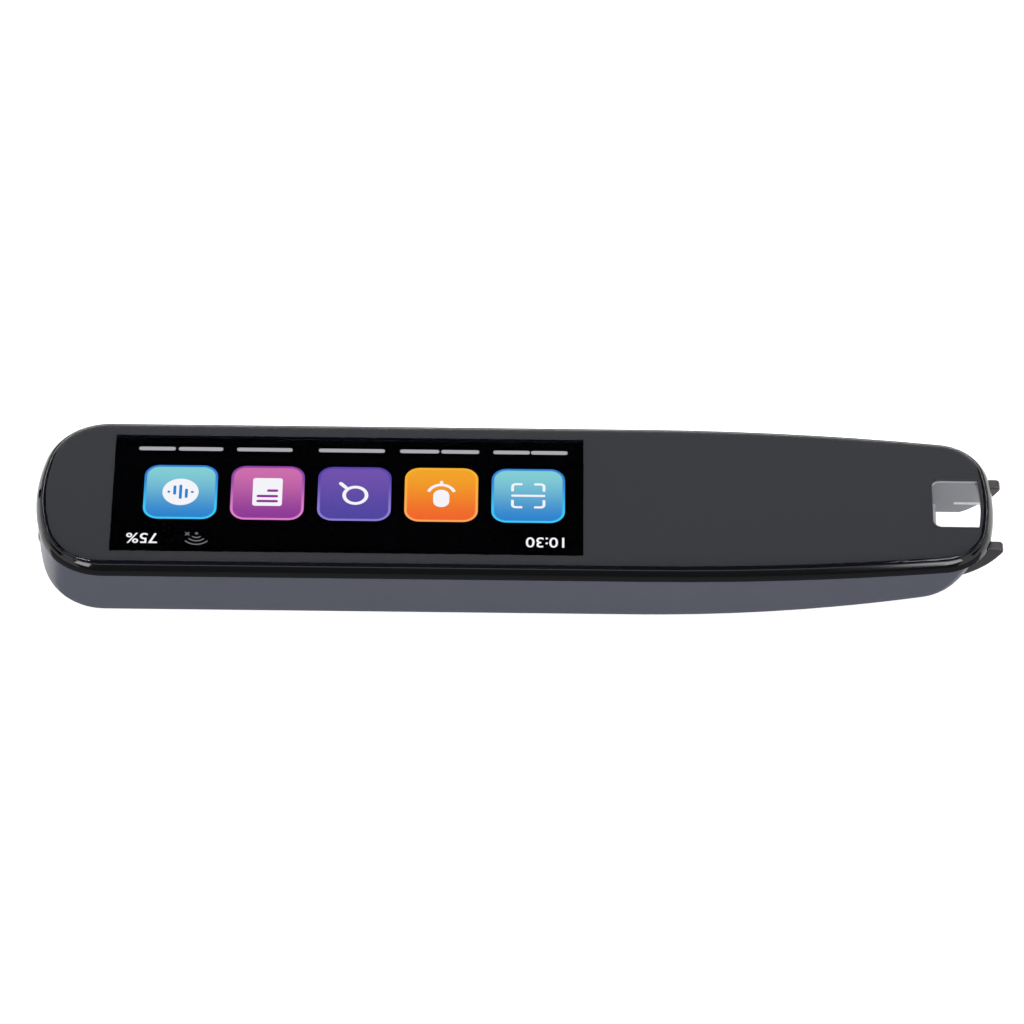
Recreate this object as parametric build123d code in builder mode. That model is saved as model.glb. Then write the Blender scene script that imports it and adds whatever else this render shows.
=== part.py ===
from build123d import *
import math
import os

# Handheld scanning translator, millimetres.
# +X runs from the tail to the scanning tip, +Y to the power button's side, +Z from the back to the glass.
# The origin is at the middle of the whole length and width, on the flat of the back.

# ---------------------------------------------------------------- driving dimensions

# Length and plan outline
body_length = 145.35
fork_reach = 1.35
tail_end_radius = 30.0
tail_corner_radius = 10.0
taper_length = 53.1
taper_radius = 410.0
tip_corner_radius = 8.2
tip_end_radius = 34.0

# Belly line: flat, then a long rise, then the toe, both measured from the tip
rise_length = 56.1
rise_radius = 452.0
toe_length = 11.0
toe_radius = 8.0
toe_angle = 60.0
cover_inset = 0.3
cover_rounding = 4.5
wall = 1.2

# Stack from the back to the glass
cell_tape = 0.3
cell_thickness = 5.0
component_room = 1.7
board_thickness = 0.8
screw_head_room = 0.5
plate_thickness = 0.4
backlight_thickness = 0.8
display_thickness = 0.8
bond_gap = 0.02
film_thickness = 0.08
tape_thickness = 0.12
glass_thickness = 1.0

# Display
screen_start = 11.4
screen_length = 71.8
screen_width = 24.06
screen_border = 0.77
driver_ledge = 3.9
screen_tail_border = 1.5
display_clearance = 0.2
print_overlap = 0.15

# Frame
frame_side = 2.4
frame_height = 2.2
frame_shoulder = 2.0
frame_upright = 0.1
glass_inset = 1.0
glass_clearance = 0.05
film_edge_gap = 0.1
tape_edge_gap = 0.25
glass_edge_run = 0.9
glass_edge_drop = 0.55
skirt_thickness = 0.8
skirt_depth = 1.8
skirt_clearance = 0.1
tab_length = 5.0
tab_reach = 0.8
tab_clearance = 0.05
hook_length = 5.0
hook_height = 0.6
hook_reach = 0.3
hook_drop = 0.8
hook_clearance = 0.1
hook_count = 4
hook_start = 18.0
hook_taper_gap = 7.9

# Window and throat
window_length = 9.4
window_width = 9.8
window_corner = 1.5
window_rim = 2.1
window_rear_clearance = 0.05
line_length = 4.0
line_width = 0.4
cheek_thickness = 0.4
cheek_rise = 0.9
cheek_clearance = 0.1
cheek_front_gap = 1.05
rear_wall_thickness = 0.8
shroud_flange_thickness = 0.45
shroud_flange_length = 6.0
shroud_sill = 0.2

# Scan fork
fork_travel = 0.8
arm_gap = 0.6
arm_height = 6.3
arm_thickness = 1.8
arm_clearance = 0.2
arm_edge = 0.4
nose_radius = 0.7
chin_radius = 13.0
chin_sink = 0.9
rail_height = 2.8
rail_clearance = 0.2
bridge_length = 2.0
fork_length = 28.15
lane_clearance = 0.3
guide_thickness = 0.8
guide_start = 21.2
notch_clearance = 0.15

# Springs and trigger
spring_length = 5.0
spring_radius = 1.2
spring_wire = 0.3
spring_turns = 6
spring_place = 5.0
spring_rib = 0.8
spring_end_gap = 0.02
switch_length = 3.0
switch_gap = 1.1
switch_width = 4.0
switch_height = 2.0
plunger_length = 2.3
plunger_width = 1.2
plunger_height = 0.8
plunger_clearance = 0.1
plunger_rise = 0.7

# Board
board_inset = 2.8
board_tail_gap = 3.3
board_overhang = 3.5
plate_start = 8.85
plate_clearance = 0.05
post_radius = 1.8
post_hole_radius = 0.6
screw_radius = 0.55
screw_head_radius = 1.3
screw_head_height = 0.4
screw_length = 4.0
screw_hole_clearance = 0.15
tail_post_start = 10.3
tail_post_place = 9.0
front_post_place = 8.0
front_post_gap = 2.9
post_hole_depth = 4.2
chip_height = 1.0
processor_size = 8.0
processor_start = 1.6
memory_length = 4.0
memory_width = 10.0
memory_gap = 0.8
small_chip_size = 5.0
small_chip_pitch = 9.0
small_chip_count = 3
shield_start = 13.3
shield_length = 16.0
shield_width = 16.0
shield_height = 1.6
shield_wall = 0.2

# Battery
cell_width = 20.0
cell_rounding = 1.5
cell_clearance = 0.3
bay_gap = 1.6
bay_rib = 0.8
bay_rib_overhang = 1.2
bay_rib_height = 2.5
lead_radius = 0.4
lead_place = 1.5
lead_run = 2.6
lead_drop = 1.2
connector_length = 3.6
connector_width = 6.0
connector_height = 1.5

# Speaker
speaker_start = 14.3
speaker_length = 20.0
speaker_width = 15.0
speaker_height = 3.3
speaker_rounding = 2.5
gasket_height = 0.5
gasket_width = 1.5
grille_holes = 8
grille_rows = 3
grille_pitch = 1.8
grille_radius = 0.5
contact_size = 1.2
contact_place = 2.5
contact_setback = 1.5

# USB-C receptacle
usb_width = 8.94
usb_height = 3.26
usb_length = 7.3
usb_wall = 0.3
usb_back = 0.6
usb_recess = 0.1
usb_clearance = 0.18
tongue_width = 6.69
tongue_height = 0.7
tongue_length = 4.45

# Power button
button_start = 25.3
button_length = 9.0
button_height = 2.4
button_proud = 0.28
button_travel = 0.3
button_clearance = 0.12
button_flange_run = 0.6
button_flange_rise = 0.15
button_flange_depth = 0.75
button_seat_gap = 0.05
side_switch_length = 3.6
side_switch_depth = 1.8
side_switch_height = 1.8
side_switch_gap = 0.7
side_plunger_width = 1.6
side_plunger_height = 0.6
side_plunger_hold = 0.8

# Camera and light
camera_length = 6.0
camera_width = 8.0
camera_height = 4.4
camera_top_gap = 0.1
camera_setback = 4.4
barrel_radius = 2.1
barrel_length = 3.2
lens_radius = 1.5
lens_thickness = 0.5
seat_rib = 0.8
seat_inset = 0.5
pane_thickness = 0.5
pane_lap = 0.5
camera_port_width = 6.4
camera_port_height = 2.8
light_slot_width = 8.6
light_slot_height = 1.3
light_slot_sill = 1.1
led_board_thickness = 0.6
led_board_lap = 0.25
led_count = 3
led_pitch = 2.6
led_size = 1.2
led_height = 0.5
diffuser_depth = 0.6
diffuser_lap = 0.25
diffuser_clearance = 0.05
camera_flex_thickness = 0.15
camera_flex_width = 5.0

# Small parts
flex_thickness = 0.15
flex_width = 9.0
flex_reach = 2.4
flex_foot = 4.0
flex_lap = 1.7
flex_slot_clearance = 0.4
mic_slot_length = 1.7
mic_slot_width = 0.4
mic_slot_inset = 0.6
mic_length = 3.0
mic_width = 4.0
mic_height = 1.0
mic_gap = 0.6
mic_channel_stop = 0.6
mic_channel_height = 0.5
antenna_length = 22.0
antenna_height = 2.4
antenna_thickness = 0.15
antenna_gap = 0.05
antenna_top_gap = 0.2
antenna_start = 43.0

# ---------------------------------------------------------------- derived places

cut_margin = 5.0
edge_margin = 0.5

# Stations along X, from the tail
tail_x = -(body_length + fork_reach) / 2
tip_x = tail_x + body_length
nose_x = tip_x + fork_reach
taper_x = tip_x - taper_length
rise_x = tip_x - rise_length
toe_x = tip_x - toe_length
screen_tail_x = tail_x + screen_start
screen_tip_x = screen_tail_x + screen_length
display_tail_x = screen_tail_x - screen_tail_border
display_tip_x = screen_tip_x + driver_ledge
pocket_tail_x = display_tail_x - display_clearance
pocket_tip_x = display_tip_x + flex_reach + display_clearance
flex_x = display_tip_x + flex_reach - flex_thickness
usb_mouth_x = tail_x + cover_inset + usb_recess
board_tail_x = tail_x + board_tail_gap
plate_tail_x = tail_x + plate_start
tail_post_x = tail_x + tail_post_start
shield_tail_x = tail_x + shield_start
speaker_tail_x = tail_x + speaker_start
speaker_x = speaker_tail_x + speaker_length / 2
speaker_tip_x = speaker_tail_x + speaker_length
button_x = tail_x + button_start
antenna_x = tail_x + antenna_start
hook_tail_x = tail_x + hook_start
hook_pitch = (taper_x - hook_taper_gap - hook_tail_x) / (hook_count - 1)
hook_places = [hook_tail_x + number * hook_pitch for number in range(hook_count)]

# Stations along X, from the tip
window_rear_x = tip_x - window_length
rear_wall_front_x = window_rear_x - window_rear_clearance
rear_wall_back_x = rear_wall_front_x - rear_wall_thickness
cheek_front_x = tip_x - cheek_front_gap
throat_rear_gap = rear_wall_thickness + 2 * cheek_clearance
notch_x = rear_wall_back_x - notch_clearance
blade_rear_x = notch_x + fork_travel + lane_clearance
bridge_back_x = tip_x - fork_length
bridge_front_x = bridge_back_x + bridge_length
guide_start_x = tip_x - guide_start
rib_front_x = bridge_back_x - spring_length
rib_back_x = rib_front_x - spring_rib
front_post_x = rib_back_x - front_post_gap - post_radius
board_tip_x = bridge_front_x + board_overhang
camera_tip_x = rear_wall_back_x - camera_setback
camera_tail_x = camera_tip_x - camera_length

# The battery bay lies between the speaker and the front posts
bay_rear_x = speaker_tip_x + bay_gap + bay_rib
bay_front_x = front_post_x - post_radius - bay_rib
cell_tail_x = bay_rear_x + cell_clearance
cell_tip_x = bay_front_x - cell_clearance

# Half widths
display_half = screen_width / 2 + screen_border
pocket_half = display_half + display_clearance
half_width = pocket_half + frame_side
cavity_inset = cover_inset + wall
skirt_outer = cavity_inset + skirt_clearance
skirt_inner = skirt_outer + skirt_thickness
inner_wall_y = half_width - cavity_inset
cheek_inner = window_width / 2
cheek_outer = cheek_inner + cheek_thickness
throat_half = cheek_outer + cheek_clearance
arm_inner = cheek_outer + arm_clearance
arm_outer = arm_inner + arm_thickness
lane_half = arm_outer + lane_clearance

# Levels from the back upwards
cell_bottom_z = wall + cell_tape
cell_top_z = cell_bottom_z + cell_thickness
board_bottom_z = cell_top_z + component_room
board_top_z = board_bottom_z + board_thickness
plate_bottom_z = board_top_z + screw_head_room
plate_top_z = plate_bottom_z + plate_thickness
display_bottom_z = plate_top_z + backlight_thickness
display_top_z = display_bottom_z + display_thickness
film_bottom_z = display_top_z + bond_gap
glass_bottom_z = film_bottom_z + film_thickness
glass_top_z = glass_bottom_z + glass_thickness
deck_top_z = film_bottom_z - tape_thickness
seam_z = glass_top_z - frame_height
frame_top_z = glass_top_z - glass_edge_drop
skirt_bottom_z = seam_z - skirt_depth
hook_z = seam_z - hook_drop - hook_height / 2
usb_z = board_bottom_z - usb_height / 2
button_z = skirt_bottom_z - button_seat_gap - button_flange_rise - button_height / 2
rail_top_z = board_bottom_z - rail_clearance
rail_bottom_z = rail_top_z - rail_height
spring_z = (rail_top_z + rail_bottom_z) / 2
arm_top_z = seam_z - arm_gap
chin_low_z = arm_top_z - arm_height
sill_z = chin_low_z - shroud_sill
camera_top_z = seam_z - camera_top_gap
camera_bottom_z = camera_top_z - camera_height
camera_z = (camera_top_z + camera_bottom_z) / 2
light_slot_z = chin_low_z + light_slot_sill + light_slot_height / 2

# Circles of the plan outline and of the prong's chin
taper_centre = Vector(taper_x, half_width - taper_radius)
tip_end_centre = Vector(tip_x - tip_end_radius, 0)
nose_centre = Vector(nose_x - nose_radius, arm_top_z - nose_radius)
chin_centre_z = chin_low_z - chin_sink + chin_radius
chin_step = math.sqrt((chin_radius - nose_radius) ** 2 - (chin_centre_z - nose_centre.Y) ** 2)
chin_centre = Vector(nose_centre.X - chin_step, chin_centre_z)


def circle_crossing(centre_a, radius_a, centre_b, radius_b):
    """The crossing of two circles that lies on the right of the line from a to b."""
    step = centre_b - centre_a
    distance = step.length
    along = (radius_a**2 - radius_b**2 + distance**2) / (2 * distance)
    across = math.sqrt(radius_a**2 - along**2)
    ahead = step.normalized()
    right = Vector(ahead.Y, -ahead.X)
    return centre_a + ahead * along + right * across


tip_corner_centre = circle_crossing(
    taper_centre,
    taper_radius - tip_corner_radius,
    tip_end_centre,
    tip_end_radius - tip_corner_radius,
)

tail_end_centre = Vector(tail_x + tail_end_radius, 0)
tail_corner_y = half_width - tail_corner_radius
tail_corner_step = math.sqrt((tail_end_radius - tail_corner_radius) ** 2 - tail_corner_y**2)
tail_corner_centre = Vector(tail_end_centre.X - tail_corner_step, tail_corner_y)

# ---------------------------------------------------------------- shared outlines


def arc_round(centre, radius, start_way, end_way):
    """An arc round a centre, from one direction to another, both given as vectors."""
    middle_way = (start_way.normalized() + end_way.normalized()).normalized()
    return ThreePointArc(
        centre + start_way.normalized() * radius,
        centre + middle_way * radius,
        centre + end_way.normalized() * radius,
    )


def plan_face(inset):
    """The part's plan outline, moved inwards by inset, as a face on Plane.XY."""
    side_y = half_width - inset
    to_tail_corner = tail_corner_centre - tail_end_centre
    to_corner = tip_corner_centre - taper_centre
    to_end = tip_corner_centre - tip_end_centre
    with BuildSketch() as outline:
        with BuildLine():
            arc_round(tail_end_centre, tail_end_radius - inset, Vector(-1, 0), to_tail_corner)
            arc_round(tail_corner_centre, tail_corner_radius - inset, to_tail_corner, Vector(0, 1))
            Line((tail_corner_centre.X, side_y), (taper_x, side_y))
            arc_round(taper_centre, taper_radius - inset, Vector(0, 1), to_corner)
            arc_round(tip_corner_centre, tip_corner_radius - inset, to_corner, to_end)
            arc_round(tip_end_centre, tip_end_radius - inset, to_end, Vector(1, 0))
            mirror(about=Plane.XZ)
        make_face()
    return outline.sketch_local


def belly_face(inset, top):
    """The side view of the cover, moved inwards by inset, as a face for a sketch on Plane.XZ."""
    rise_angle = math.asin((toe_x - rise_x) / rise_radius)
    rise_way = Vector(math.sin(rise_angle), -math.cos(rise_angle))
    end_way = Vector(math.sin(math.radians(toe_angle)), -math.cos(math.radians(toe_angle)))
    rise_centre = Vector(rise_x, rise_radius)
    toe_centre = rise_centre + rise_way * (rise_radius - toe_radius)
    toe_end = toe_centre + end_way * (toe_radius - inset)
    slope_run = (top - toe_end.Y) / math.tan(math.radians(toe_angle))
    slope_end = (toe_end.X + slope_run, top)
    back_x = tail_x - cut_margin
    with BuildSketch() as side:
        with BuildLine():
            Polyline((rise_x, inset), (back_x, inset), (back_x, top), slope_end, (toe_end.X, toe_end.Y))
            arc_round(toe_centre, toe_radius - inset, end_way, rise_way)
            arc_round(rise_centre, rise_radius - inset, rise_way, Vector(0, -1))
        make_face()
    return side.sketch_local


def cover_form(inset, top):
    """The solid form of the rear cover up to top, all of its walls moved inwards by inset."""
    with BuildPart() as form:
        with BuildSketch():
            add(plan_face(cover_inset + inset))
        extrude(amount=top)
        with BuildSketch(Plane.XZ):
            add(belly_face(inset, top))
        extrude(amount=body_length, both=True, mode=Mode.INTERSECT)
        belly_edges = form.edges().filter_by_position(Axis.Z, inset, top - edge_margin, (True, False))
        rim = belly_edges.filter_by(Axis.Y, reverse=True).filter_by(Axis.Z, reverse=True)
        fillet(rim, radius=cover_rounding - inset)
    return form.part


def beam(x_low, x_high, y_low, y_high, z_low, z_high, mode=Mode.ADD):
    """A box between its limits."""
    with Locations(((x_low + x_high) / 2, (y_low + y_high) / 2, (z_low + z_high) / 2)):
        Box(x_high - x_low, y_high - y_low, z_high - z_low, mode=mode)


os.makedirs("parts", exist_ok=True)

# ---------------------------------------------------------------- cover glass and its layers

with BuildPart() as cover_glass:
    with BuildSketch(Plane.XY.offset(glass_bottom_z)):
        add(plan_face(glass_inset))
    extrude(amount=glass_thickness)
    top_face = cover_glass.faces().sort_by(Axis.Z)[-1]
    chamfer(top_face.edges(), length=glass_edge_drop, length2=glass_edge_run, reference=top_face)
cover_glass.part.label = "cover_glass"
export_step(cover_glass.part, "parts/cover_glass.step")


def window_face(width, corner, clearance=0.0):
    """The scanning window, rounded at its rear corners and open past the tip."""
    rear_x = window_rear_x - clearance
    front_x = tip_x + cut_margin
    with BuildSketch() as opening:
        with BuildLine():
            Polyline(
                (front_x, -width / 2),
                (rear_x, -width / 2),
                (rear_x, width / 2),
                (front_x, width / 2),
                close=True,
            )
        make_face()
        if corner > 0:
            fillet(opening.vertices().group_by(Axis.X)[0], radius=corner)
    return opening.sketch_local


screen_x = (screen_tail_x + screen_tip_x) / 2
pocket_x = (pocket_tail_x + pocket_tip_x) / 2

with BuildPart() as mask_film:
    with BuildSketch(Plane.XY.offset(film_bottom_z)):
        add(plan_face(glass_inset + film_edge_gap))
        with Locations((screen_x, 0)):
            Rectangle(
                screen_length + 2 * print_overlap,
                screen_width + 2 * print_overlap,
                mode=Mode.SUBTRACT,
            )
        add(window_face(window_width, window_corner), mode=Mode.SUBTRACT)
    extrude(amount=film_thickness)
mask_film.part.label = "mask_film"
export_step(mask_film.part, "parts/mask_film.step")

rim_x = tip_x - window_rim

with BuildPart() as window_line:
    beam(rim_x - line_length, rim_x, -line_width / 2, line_width / 2, film_bottom_z, glass_bottom_z)
window_line.part.label = "window_line"
export_step(window_line.part, "parts/window_line.step")

with BuildPart() as glass_tape:
    with BuildSketch(Plane.XY.offset(deck_top_z)):
        add(plan_face(glass_inset + tape_edge_gap))
        with Locations((pocket_x, 0)):
            Rectangle(pocket_tip_x - pocket_tail_x, 2 * pocket_half, mode=Mode.SUBTRACT)
        add(window_face(2 * throat_half, 0, throat_rear_gap), mode=Mode.SUBTRACT)
    extrude(amount=tape_thickness)
glass_tape.part.label = "glass_tape"
export_step(glass_tape.part, "parts/glass_tape.step")

# ---------------------------------------------------------------- bezel frame

with BuildPart() as bezel_frame:
    # Outer ring with its rounded shoulder, cut off level with the glass's edge
    with BuildSketch(Plane.XY.offset(seam_z)):
        add(plan_face(0))
    extrude(amount=frame_upright + frame_shoulder)
    fillet(bezel_frame.faces().sort_by(Axis.Z)[-1].edges(), radius=frame_shoulder)
    split(bisect_by=Plane.XY.offset(frame_top_z), keep=Keep.BOTTOM)
    # Seat for the glass, the display's pocket and the throat
    with BuildSketch(Plane.XY.offset(deck_top_z)):
        add(plan_face(glass_inset - glass_clearance))
    extrude(amount=cut_margin, mode=Mode.SUBTRACT)
    beam(
        pocket_tail_x,
        pocket_tip_x,
        -pocket_half,
        pocket_half,
        seam_z - cut_margin,
        deck_top_z + cut_margin,
        mode=Mode.SUBTRACT,
    )
    with BuildSketch(Plane.XY.offset(seam_z - cut_margin)):
        add(plan_face(window_rim))
        add(window_face(2 * throat_half, 0, throat_rear_gap), mode=Mode.INTERSECT)
    extrude(amount=2 * cut_margin, mode=Mode.SUBTRACT)
    # Skirt that nests inside the rear cover
    with BuildSketch(Plane.XY.offset(skirt_bottom_z)):
        add(plan_face(skirt_outer))
        add(plan_face(skirt_inner), mode=Mode.SUBTRACT)
        with Locations((toe_x, 0)):
            Rectangle(body_length, 2 * half_width, align=(Align.MIN, Align.CENTER), mode=Mode.SUBTRACT)
    extrude(amount=skirt_depth)
    for hook_x in hook_places:
        for side in (1, -1):
            # Snap hooks outside the skirt, tabs inside it that carry the support plate
            from_outside = Align.MAX if side > 0 else Align.MIN
            with Locations((hook_x, side * (half_width - skirt_outer + hook_reach), hook_z)):
                Box(
                    hook_length,
                    skirt_thickness + hook_reach,
                    hook_height,
                    align=(Align.CENTER, from_outside, Align.CENTER),
                )
            with Locations((hook_x, side * (half_width - skirt_outer), plate_bottom_z)):
                Box(
                    tab_length,
                    skirt_thickness + tab_reach,
                    plate_bottom_z - board_top_z - tab_clearance,
                    align=(Align.CENTER, from_outside, Align.MAX),
                )
    # Microphone slot in the tail, and its channel to the microphone
    mic_slot_x = tail_x + mic_slot_inset
    mic_tip_x = board_tail_x + mic_gap + mic_length
    with Locations((mic_slot_x, 0, frame_top_z)):
        Box(mic_slot_width, mic_slot_length, 2 * (frame_top_z - seam_z), mode=Mode.SUBTRACT)
    beam(
        mic_slot_x,
        mic_tip_x - mic_channel_stop,
        -mic_slot_length / 2,
        mic_slot_length / 2,
        seam_z,
        seam_z + mic_channel_height,
        mode=Mode.SUBTRACT,
    )
bezel_frame.part.label = "bezel_frame"
export_step(bezel_frame.part, "parts/bezel_frame.step")

# ---------------------------------------------------------------- rear cover

tail_posts = [(tail_post_x, side * tail_post_place) for side in (1, -1)]
front_posts = [(front_post_x, side * front_post_place) for side in (1, -1)]
post_places = tail_posts + front_posts
seat_half = camera_width / 2 - seat_inset

with BuildPart() as cover_cavity:
    add(cover_form(wall, seam_z))
    # Screw posts
    with Locations(*[Location((x, y, 0)) for x, y in post_places]):
        Cylinder(
            post_radius, board_bottom_z, align=(Align.CENTER, Align.CENTER, Align.MIN), mode=Mode.SUBTRACT
        )
    # Ribs of the battery bay
    for rib_x in (bay_rear_x - bay_rib, bay_front_x):
        beam(
            rib_x,
            rib_x + bay_rib,
            -cell_width / 2 - bay_rib_overhang,
            cell_width / 2 + bay_rib_overhang,
            0,
            wall + bay_rib_height,
            mode=Mode.SUBTRACT,
        )
    # Rib that the springs push against
    beam(rib_back_x, rib_front_x, -lane_half, lane_half, 0, rail_top_z, mode=Mode.SUBTRACT)
    # Seat of the camera
    for rib_x in (camera_tail_x + seat_rib, camera_tip_x - 2 * seat_rib):
        beam(rib_x, rib_x + seat_rib, -seat_half, seat_half, 0, camera_bottom_z, mode=Mode.SUBTRACT)
    # Guide walls beside the prongs
    for side in (1, -1):
        with Locations((guide_start_x, side * (lane_half + guide_thickness / 2), 0)):
            Box(
                guide_start + cut_margin,
                guide_thickness,
                seam_z + cut_margin,
                align=(Align.MIN, Align.CENTER, Align.MIN),
                mode=Mode.SUBTRACT,
            )

with BuildPart() as rear_cover:
    add(cover_form(0, seam_z))
    add(cover_cavity.part, mode=Mode.SUBTRACT)
    # Mouth for the prongs and the throat
    beam(
        notch_x,
        tip_x + cut_margin,
        -lane_half,
        lane_half,
        -cut_margin,
        seam_z + cut_margin,
        mode=Mode.SUBTRACT,
    )
    # Screw holes in the posts
    with Locations(*[Location((x, y, board_bottom_z)) for x, y in post_places]):
        Cylinder(
            post_hole_radius,
            post_hole_depth,
            align=(Align.CENTER, Align.CENTER, Align.MAX),
            mode=Mode.SUBTRACT,
        )
    # USB-C opening
    with BuildSketch(Plane.YZ.offset(tail_x - cut_margin)):
        with Locations((0, usb_z)):
            SlotOverall(usb_width + 2 * usb_clearance, usb_height + 2 * usb_clearance)
    extrude(amount=cut_margin + usb_length, mode=Mode.SUBTRACT)
    # Power button opening
    with BuildSketch(Plane.XZ.offset(-half_width - cut_margin)):
        with Locations((button_x, button_z)):
            SlotOverall(button_length + 2 * button_clearance, button_height + 2 * button_clearance)
    extrude(amount=cut_margin + cavity_inset + button_seat_gap, mode=Mode.SUBTRACT)
    # Speaker grille
    with Locations((speaker_x, 0, 0)):
        with GridLocations(grille_pitch, grille_pitch, grille_holes, grille_rows):
            Cylinder(grille_radius, 2 * cut_margin, mode=Mode.SUBTRACT)
    # Recesses for the frame's snap hooks
    for hook_x in hook_places:
        for side in (1, -1):
            with Locations((hook_x, side * (half_width - skirt_outer + hook_reach / 2), hook_z)):
                Box(
                    hook_length + 2 * hook_clearance,
                    hook_reach + 2 * hook_clearance,
                    hook_height + 2 * hook_clearance,
                    mode=Mode.SUBTRACT,
                )
rear_cover.part.label = "rear_cover"
export_step(rear_cover.part, "parts/rear_cover.step")

# ---------------------------------------------------------------- display and support plate

with BuildPart() as display_cell:
    beam(display_tail_x, display_tip_x, -display_half, display_half, display_bottom_z, display_top_z)
display_cell.part.label = "display_cell"
export_step(display_cell.part, "parts/display_cell.step")

backlight_tip_x = screen_tip_x + screen_tail_border

with BuildPart() as backlight_unit:
    beam(display_tail_x, backlight_tip_x, -display_half, display_half, plate_top_z, display_bottom_z)
    fillet(backlight_unit.edges().filter_by(Axis.Z), radius=screen_border)
backlight_unit.part.label = "backlight_unit"
export_step(backlight_unit.part, "parts/backlight_unit.step")

with BuildPart() as display_flex:
    with BuildSketch(Plane.XZ):
        with BuildLine():
            Polyline(
                (display_tip_x - flex_lap, display_bottom_z),
                (flex_x + flex_thickness, display_bottom_z),
                (flex_x + flex_thickness, board_top_z + flex_thickness),
                (flex_x + flex_foot, board_top_z + flex_thickness),
                (flex_x + flex_foot, board_top_z),
                (flex_x, board_top_z),
                (flex_x, display_bottom_z - flex_thickness),
                (display_tip_x - flex_lap, display_bottom_z - flex_thickness),
                close=True,
            )
        make_face()
    extrude(amount=flex_width / 2, both=True)
display_flex.part.label = "display_flex"
export_step(display_flex.part, "parts/display_flex.step")

with BuildPart() as support_plate:
    with BuildSketch(Plane.XY.offset(plate_bottom_z)):
        add(plan_face(skirt_inner + plate_clearance))
        with Locations(((plate_tail_x + board_tip_x) / 2, 0)):
            Rectangle(board_tip_x - plate_tail_x, body_length, mode=Mode.INTERSECT)
        with Locations((flex_x + flex_thickness / 2, 0)):
            Rectangle(
                flex_thickness + 2 * flex_slot_clearance,
                flex_width + 2 * flex_slot_clearance,
                mode=Mode.SUBTRACT,
            )
    extrude(amount=plate_thickness)
support_plate.part.label = "support_plate"
export_step(support_plate.part, "parts/support_plate.step")

# ---------------------------------------------------------------- main board and what is on it

with BuildPart() as main_board:
    with BuildSketch(Plane.XY.offset(board_bottom_z)):
        add(plan_face(board_inset))
        with Locations(((board_tail_x + board_tip_x) / 2, 0)):
            Rectangle(board_tip_x - board_tail_x, body_length, mode=Mode.INTERSECT)
        with Locations(*post_places):
            Circle(screw_radius + screw_hole_clearance, mode=Mode.SUBTRACT)
    extrude(amount=board_thickness)
main_board.part.label = "main_board"
export_step(main_board.part, "parts/main_board.step")

with BuildPart() as board_screws:
    with Locations(*[Location((x, y, board_top_z)) for x, y in post_places]):
        Cylinder(screw_head_radius, screw_head_height, align=(Align.CENTER, Align.CENTER, Align.MIN))
        Cylinder(screw_radius, screw_length, align=(Align.CENTER, Align.CENTER, Align.MAX))
board_screws.part.label = "board_screws"
export_step(board_screws.part, "parts/board_screws.step")

shield_x = shield_tail_x + shield_length / 2

with BuildPart() as processor_shield:
    with Locations((shield_x, 0, board_bottom_z)):
        Box(shield_length, shield_width, shield_height, align=(Align.CENTER, Align.CENTER, Align.MAX))
        Box(
            shield_length - 2 * shield_wall,
            shield_width - 2 * shield_wall,
            shield_height - shield_wall,
            align=(Align.CENTER, Align.CENTER, Align.MAX),
            mode=Mode.SUBTRACT,
        )
processor_shield.part.label = "processor_shield"
export_step(processor_shield.part, "parts/processor_shield.step")

processor_x = shield_tail_x + processor_start + processor_size / 2
memory_x = processor_x + processor_size / 2 + memory_gap + memory_length / 2
small_chips_x = (cell_tail_x + cell_tip_x) / 2

with BuildPart() as board_chips:
    with Locations((processor_x, 0, board_bottom_z)):
        Box(processor_size, processor_size, chip_height, align=(Align.CENTER, Align.CENTER, Align.MAX))
    with Locations((memory_x, 0, board_bottom_z)):
        Box(memory_length, memory_width, chip_height, align=(Align.CENTER, Align.CENTER, Align.MAX))
    with Locations((small_chips_x, 0, board_bottom_z)):
        with GridLocations(small_chip_pitch, small_chip_pitch, small_chip_count, 1):
            Box(small_chip_size, small_chip_size, chip_height, align=(Align.CENTER, Align.CENTER, Align.MAX))
board_chips.part.label = "board_chips"
export_step(board_chips.part, "parts/board_chips.step")

with BuildPart() as microphone:
    beam(
        board_tail_x + mic_gap,
        mic_tip_x,
        -mic_width / 2,
        mic_width / 2,
        board_top_z,
        board_top_z + mic_height,
    )
microphone.part.label = "microphone"
export_step(microphone.part, "parts/microphone.step")

antenna_top_z = skirt_bottom_z - antenna_top_gap
antenna_y = antenna_gap - inner_wall_y

with BuildPart() as antenna:
    beam(
        antenna_x,
        antenna_x + antenna_length,
        antenna_y,
        antenna_y + antenna_thickness,
        antenna_top_z - antenna_height,
        antenna_top_z,
    )
antenna.part.label = "antenna"
export_step(antenna.part, "parts/antenna.step")

# ---------------------------------------------------------------- battery

with BuildPart() as battery_cell:
    beam(cell_tail_x, cell_tip_x, -cell_width / 2, cell_width / 2, cell_bottom_z, cell_top_z)
    fillet(battery_cell.edges().filter_by(Axis.X), radius=cell_rounding)
battery_cell.part.label = "battery_cell"
export_step(battery_cell.part, "parts/battery_cell.step")

connector_x = cell_tip_x + lead_run
connector_bottom_z = board_bottom_z - connector_height
lead_start_z = cell_top_z - lead_drop
lead_end_z = board_bottom_z - connector_height / 2

with BuildPart() as battery_connector:
    beam(
        connector_x,
        connector_x + connector_length,
        -connector_width / 2,
        connector_width / 2,
        connector_bottom_z,
        board_bottom_z,
    )
battery_connector.part.label = "battery_connector"
export_step(battery_connector.part, "parts/battery_connector.step")

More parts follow.
